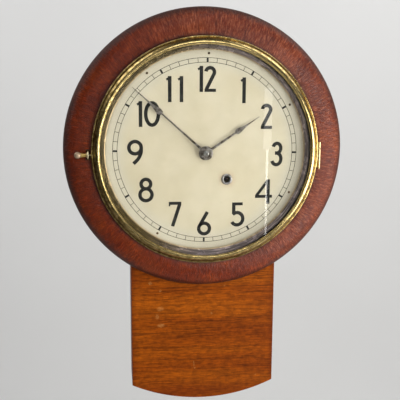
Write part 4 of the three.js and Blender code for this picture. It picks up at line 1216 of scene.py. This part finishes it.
def make_bezel_hinge():
    leaf_low, leaf_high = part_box("case_hinge_leaf")
    middle_low, middle_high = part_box("bezel_hinge_leaf")
    pin_low, pin_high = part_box("bezel_hinge_pin")
    pin_middle = (pin_low + pin_high) / 2
    x, forward = in_mm(pin_middle.x), -in_mm(pin_middle.y)
    place = standing(x, forward)
    bottom, top = in_mm(leaf_low.z), in_mm(leaf_high.z)
    low, high = in_mm(middle_low.z), in_mm(middle_high.z)
    radius, bore, gap = 1.65, 1.05, 0.4

    leaf_rear = -in_mm(leaf_high.y)
    leaf = block("leaf", (in_mm(leaf_low.x), leaf_rear, bottom), (x, leaf_rear + 1, top))
    webs = [
        block(f"web_{i}", (x - radius, leaf_rear + 0.8, a), (x - bore - 0.1, forward, b))
        for i, (a, b) in enumerate(((bottom, low - gap), (high + gap, top)))
    ]
    for flat in (leaf, *webs):
        applied(eased(flat, 0.2, 2))
    ends = [
        knuckle("knuckle_low", place, radius, bore, bottom, low - gap),
        knuckle("knuckle_high", place, radius, bore, high + gap, top),
    ]
    case_leaf = joined("case_hinge_leaf_rolled", [leaf, *webs, *ends])
    finished(case_leaf, HINGE_BRASS, "case", "brass", "case_hinge_leaf")

    tongue = block("tongue", (in_mm(middle_low.x), forward - 0.9, low), (x - bore - 0.1, forward, high))
    applied(eased(tongue, 0.2, 2))
    bezel_leaf = joined(
        "bezel_hinge_leaf_rolled",
        [tongue, knuckle("knuckle_middle", place, radius, bore, low, high)],
    )
    finished(bezel_leaf, HINGE_BRASS, "bezel", "brass", "bezel_hinge_leaf")

    foot = in_mm(pin_low.z)
    profile = rounded(
        [(0, foot + 0.02), (1.2, foot + 0.1), (1.65, foot + 0.7), (1.4, foot + 1.3), (0.9, foot + 1.5)], 3
    )
    tip = in_mm(pin_high.z)
    profile += [(0.9, tip - 0.3), (0.6, tip), (0, tip)]
    pin = turned("bezel_hinge_pin_headed", profile, place, 24)
    finished(pin, HINGE_BRASS, "case", "brass", "bezel_hinge_pin")


def make_latch():
    """A ball on a waisted neck that flares towards the oval cam in its clip."""
    low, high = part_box("latch_knob")
    forward, level = -in_mm((low.y + high.y) / 2), in_mm((low.z + high.z) / 2)
    tip, inner_end = in_mm(low.x), in_mm(high.x)
    ball = 5.05
    centre = tip + 5.1
    ball_line = [
        (ball * math.sin(math.radians(a)), centre - ball * math.cos(math.radians(a))) for a in range(0, 138, 8)
    ]
    ball_line[0] = (0, ball_line[0][1])
    neck = rounded(
        [
            ball_line[-1],
            (3.5, centre + 6.0),
            (3.0, centre + 8.6),
            (2.72, centre + 11.8),
            (3.4, centre + 12.9),
            (4.85, centre + 14.2),
        ],
        4,
    )
    profile = [*ball_line[:-1], *neck, (4.8, centre + 14.5), (1.2, centre + 14.6), (1.2, inner_end), (0, inner_end)]
    place = pointing_right(forward, level)
    knob = turned("latch_ball_and_neck", profile, place, 40)
    rear_face, front_face = inner_end - 8.6, inner_end - 7.0
    outline = [(6.15 * math.cos(a), 5.15 * math.sin(a)) for a in (2 * math.pi * i / 48 for i in range(48))]
    cam = prism("cam", outline, place, rear_face, front_face)
    applied(eased(cam, 0.35, 3))
    finished(joined("latch_turned_knob", [knob, cam]), LATCH_BRASS, "latch", "brass", "latch_knob")


# ------------------------------------------------------------------ hands

HOUR, MINUTE = 1, 52


def blade(name, stations, rear, thickness, ridge):
    """A hand that points at 12: stations are (distance from the axis, half width)."""
    bm = bmesh.new()
    place = facing_front(0, 0)
    sections = []
    for reach, half in rounded(stations, 5):
        front = rear + thickness
        rise = min(ridge, half * 0.35)
        sections.append(
            [
                bm.verts.new(place(a, reach, h))
                for a, h in ((-half, rear), (half, rear), (half, front - rise), (0, front), (-half, front - rise))
            ]
        )
    for a, b in zip(sections, sections[1:]):
        for p in range(5):
            q = (p + 1) % 5
            bm.faces.new((a[p], a[q], b[q], b[p]))
    bm.faces.new(sections[0])
    bm.faces.new(sections[-1])
    return piece_from(name, bm, 25)


def boss(name, radius, bore, rear, thickness):
    top = rear + thickness
    profile = [
        (bore, rear),
        (radius - 0.2, rear),
        *rounded([(radius, rear + 0.3), (radius - 0.15, top - 0.4), (radius - 1.2, top - 0.1)], 3),
        (bore + 1.2, top),
        (bore, top - 0.1),
        (bore, rear),
    ]
    return turned(name, profile, facing_front(0, 0), 64)


def turn_hand(pieces, degrees):
    for piece in pieces:
        piece.data.transform(Matrix.Rotation(math.radians(degrees), 4, "Y"))
    return pieces


def make_hands():
    minute_rear = -in_mm(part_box("minute_hand")[1].y)
    minute_blade = blade(
        "minute_blade",
        [
            (6, 1.88),
            (30, 1.62),
            (60, 1.3),
            (80, 1.23),
            (88.6, 1.2),
            (90, 2.2),
            (92, 3.8),
            (95.5, 4.5),
            (99, 4.1),
            (103, 3.1),
            (108, 2.1),
            (113, 1.45),
            (119, 1.0),
            (134, 0.7),
            (148.5, 0.4),
        ],
        minute_rear,
        1.0,
        0.45,
    )
    minute_boss = boss("minute_boss", 10.4, 2.65, minute_rear, 1.25)
    turn_hand([minute_blade, minute_boss], MINUTE * 6)
    minute_hand = joined("minute_hand_spade", [minute_blade, minute_boss])
    finished(minute_hand, MATERIALS["hand_steel"], "minute_hand", "hand_steel", "minute_hand")

    hour_rear = -in_mm(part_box("hour_hand")[1].y)
    hour_blade = blade(
        "hour_blade",
        [
            (6, 2.07),
            (30, 1.74),
            (48, 1.48),
            (53.4, 1.41),
            (54.6, 2.0),
            (56.5, 3.6),
            (59.5, 4.2),
            (63, 3.7),
            (67, 2.75),
            (71, 1.95),
            (76, 1.25),
            (81, 0.9),
            (90, 0.6),
            (98, 0.35),
        ],
        hour_rear,
        1.0,
        0.45,
    )
    hour_boss = boss("hour_boss", 10.8, 4.3, hour_rear, 1.25)
    turn_hand([hour_blade, hour_boss], (HOUR + MINUTE / 60) * 30)
    hour_hand = joined("hour_hand_spade", [hour_blade, hour_boss])
    finished(hour_hand, MATERIALS["hand_steel"], "hour_hand", "hand_steel", "hour_hand")


def make_hand_nut():
    low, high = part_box("hand_nut")
    rear, front = -in_mm(high.y), -in_mm(low.y)
    profile = [
        (1.6, rear),
        (4.3, rear),
        (4.35, rear + 0.5),
        *rounded([(4.1, rear + 0.85), (3.3, front - 0.5), (2.5, front - 0.1)], 3),
        (1.6, front - 0.05),
        (1.6, rear),
    ]
    nut = turned("hand_nut_domed", profile, facing_front(0, 0), 48)
    finished(nut, MATERIALS["steel"], "minute_hand", "brass", "hand_nut")


# ------------------------------------------------------------------ pendulum


def make_pendulum():
    low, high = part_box("pendulum_bob")
    centre = (low + high) / 2
    radius, half = in_mm(high.x - low.x) / 2, in_mm(high.y - low.y) / 2
    forward = -in_mm(centre.y)
    steps = 20
    curve = []
    for i in range(steps + 1):
        out = math.sin(math.pi / 2 * i / steps)
        curve.append((radius * out, 0.8 + (half - 0.8) * math.sqrt(max(0.0, 1 - out * out))))
    profile = [(r, forward - h) for r, h in curve] + [(r, forward + h) for r, h in reversed(curve)]
    bob = turned("pendulum_bob_lens", profile, facing_front(in_mm(centre.x), in_mm(centre.z)), 96)
    bore = turned(
        "bore",
        [(0, in_mm(low.z) - 5), (1.55, in_mm(low.z) - 5), (1.55, in_mm(high.z) + 5), (0, in_mm(high.z) + 5)],
        standing(in_mm(centre.x), forward),
        24,
    )
    carved(bob, bore)
    finished(bob, MATERIALS["brass"], "pendulum", "brass", "pendulum_bob")

    rod_low, rod_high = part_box("pendulum_rod")
    end, start = in_mm(rod_low.z), in_mm(rod_high.z)
    profile = [(0, end), (0.9, end), (1.22, end + 0.5), (1.22, start), (0, start)]
    rod = turned("pendulum_rod_drawn", profile, standing(0, forward), 24)
    finished(rod, MATERIALS["steel"], "pendulum", "steel", "pendulum_rod")


# ------------------------------------------------------------------ studio


def make_stage():
    """A pale floor that sweeps up into a pale backdrop far behind the clock."""
    bm = bmesh.new()
    floor, near, far, bend, half, top = -1.9, -4.0, 1.9, 0.9, 5.0, 4.0
    line = [(near, floor), (far - bend, floor)]
    line += [
        (far - bend + bend * math.sin(math.pi / 2 * i / 16), floor + bend - bend * math.cos(math.pi / 2 * i / 16))
        for i in range(1, 17)
    ]
    line.append((far, top))
    left = [bm.verts.new((-half, y, z)) for y, z in line]
    right = [bm.verts.new((half, y, z)) for y, z in line]
    for i in range(len(line) - 1):
        bm.faces.new((left[i], right[i], right[i + 1], left[i + 1]))
    stage = piece_from("studio_sweep", bm)
    f = Finish("studio_paper")
    paper = f.cloud(f.position, 3.0, 2, 0.5)
    f.put(Base_Color=f.mix(paper, (0.76, 0.76, 0.755), (0.79, 0.79, 0.785)), Roughness=0.9)
    stage.data.materials.append(f.material)


def area_light(name, location, target, width, height, power, colour=(1, 1, 1)):
    light = bpy.data.lights.new(name, "AREA")
    light.shape = "RECTANGLE"
    light.size, light.size_y = width, height
    light.energy = power
    light.color = colour
    lamp = bpy.data.objects.new(name, light)
    lamp.location = location
    lamp.rotation_euler = (Vector(target) - Vector(location)).to_track_quat("-Z", "Y").to_euler()
    bpy.context.scene.collection.objects.link(lamp)
    return lamp


def make_light():
    """Soft light, most of it from the front right, with a pale surround and one narrow upright strip."""
    world = bpy.data.worlds.new("studio")
    bpy.context.scene.world = world
    world.use_nodes = True
    tree = world.node_tree
    surround = tree.nodes["Background"]
    surround.inputs["Color"].default_value = (0.95, 0.97, 1.0, 1)
    surround.inputs["Strength"].default_value = 0.045
    seen = tree.nodes.new("ShaderNodeBackground")
    seen.inputs["Color"].default_value = (0.72, 0.72, 0.72, 1)
    chosen = tree.nodes.new("ShaderNodeMixShader")
    ray = tree.nodes.new("ShaderNodeLightPath")
    tree.links.new(ray.outputs["Is Camera Ray"], chosen.inputs[0])
    tree.links.new(surround.outputs[0], chosen.inputs[1])
    tree.links.new(seen.outputs[0], chosen.inputs[2])
    tree.links.new(chosen.outputs[0], tree.nodes["World Output"].inputs["Surface"])
    centre = (0, 0, -0.05)
    area_light("key_right", (1.7, -1.15, -0.42), centre, 1.9, 1.5, 57, (1.0, 0.985, 0.96))
    area_light("front_top", (0.15, -1.6, 1.5), centre, 1.6, 1.0, 14, (0.98, 0.985, 1.0))
    area_light("front_left", (-0.95, -2.2, 0.25), centre, 0.28, 1.3, 6, (0.98, 0.985, 1.0))
    area_light("window_edge", (0.56, -2.3, -0.528), (0.56, 0, -0.528), 0.009, 0.52, 0.06)
    area_light("window_gap", (0.56, -2.3, -0.131), (0.56, 0, -0.131), 0.036, 0.276, 0.035)
    for side in (-1, 1):
        area_light(f"backdrop_{side + 1}", (side * 1.6, 0.35, 1.6), (side * 0.4, 1.9, 0.0), 1.4, 1.4, 21)


def make_camera():
    camera = bpy.data.cameras.new("camera")
    image_width, focal_pixels = 400, 741.45
    camera.sensor_width = 36
    camera.lens = camera.sensor_width * focal_pixels / image_width
    camera.clip_start, camera.clip_end = 0.05, 60
    viewer = bpy.data.objects.new("camera", camera)
    yaw, pitch, roll = 0.11933, 0.19093, 0.00497
    viewer.matrix_world = (
        Matrix.Translation((-0.14163, -1.20121, 0.14363))
        @ Matrix.Rotation(-yaw, 4, "Z")
        @ Matrix.Rotation(math.pi / 2 - pitch, 4, "X")
        @ Matrix.Rotation(roll, 4, "Z")
    )
    bpy.context.scene.collection.objects.link(viewer)
    bpy.context.scene.camera = viewer
    bpy.context.scene.view_settings.view_transform = "Standard"


# ------------------------------------------------------------------ assembly

dress_cad_nodes()
make_wood_ring()
make_drop_panel()
make_back_fittings()
make_side_door_fittings()
make_dial()
make_numerals()
make_minute_track()
make_dial_nails()
make_grommet()
make_bezel()
make_sight_ring()
make_glass()
make_bezel_hinge()
make_latch()
make_hands()
make_hand_nut()
make_pendulum()
make_stage()
make_light()
make_camera()
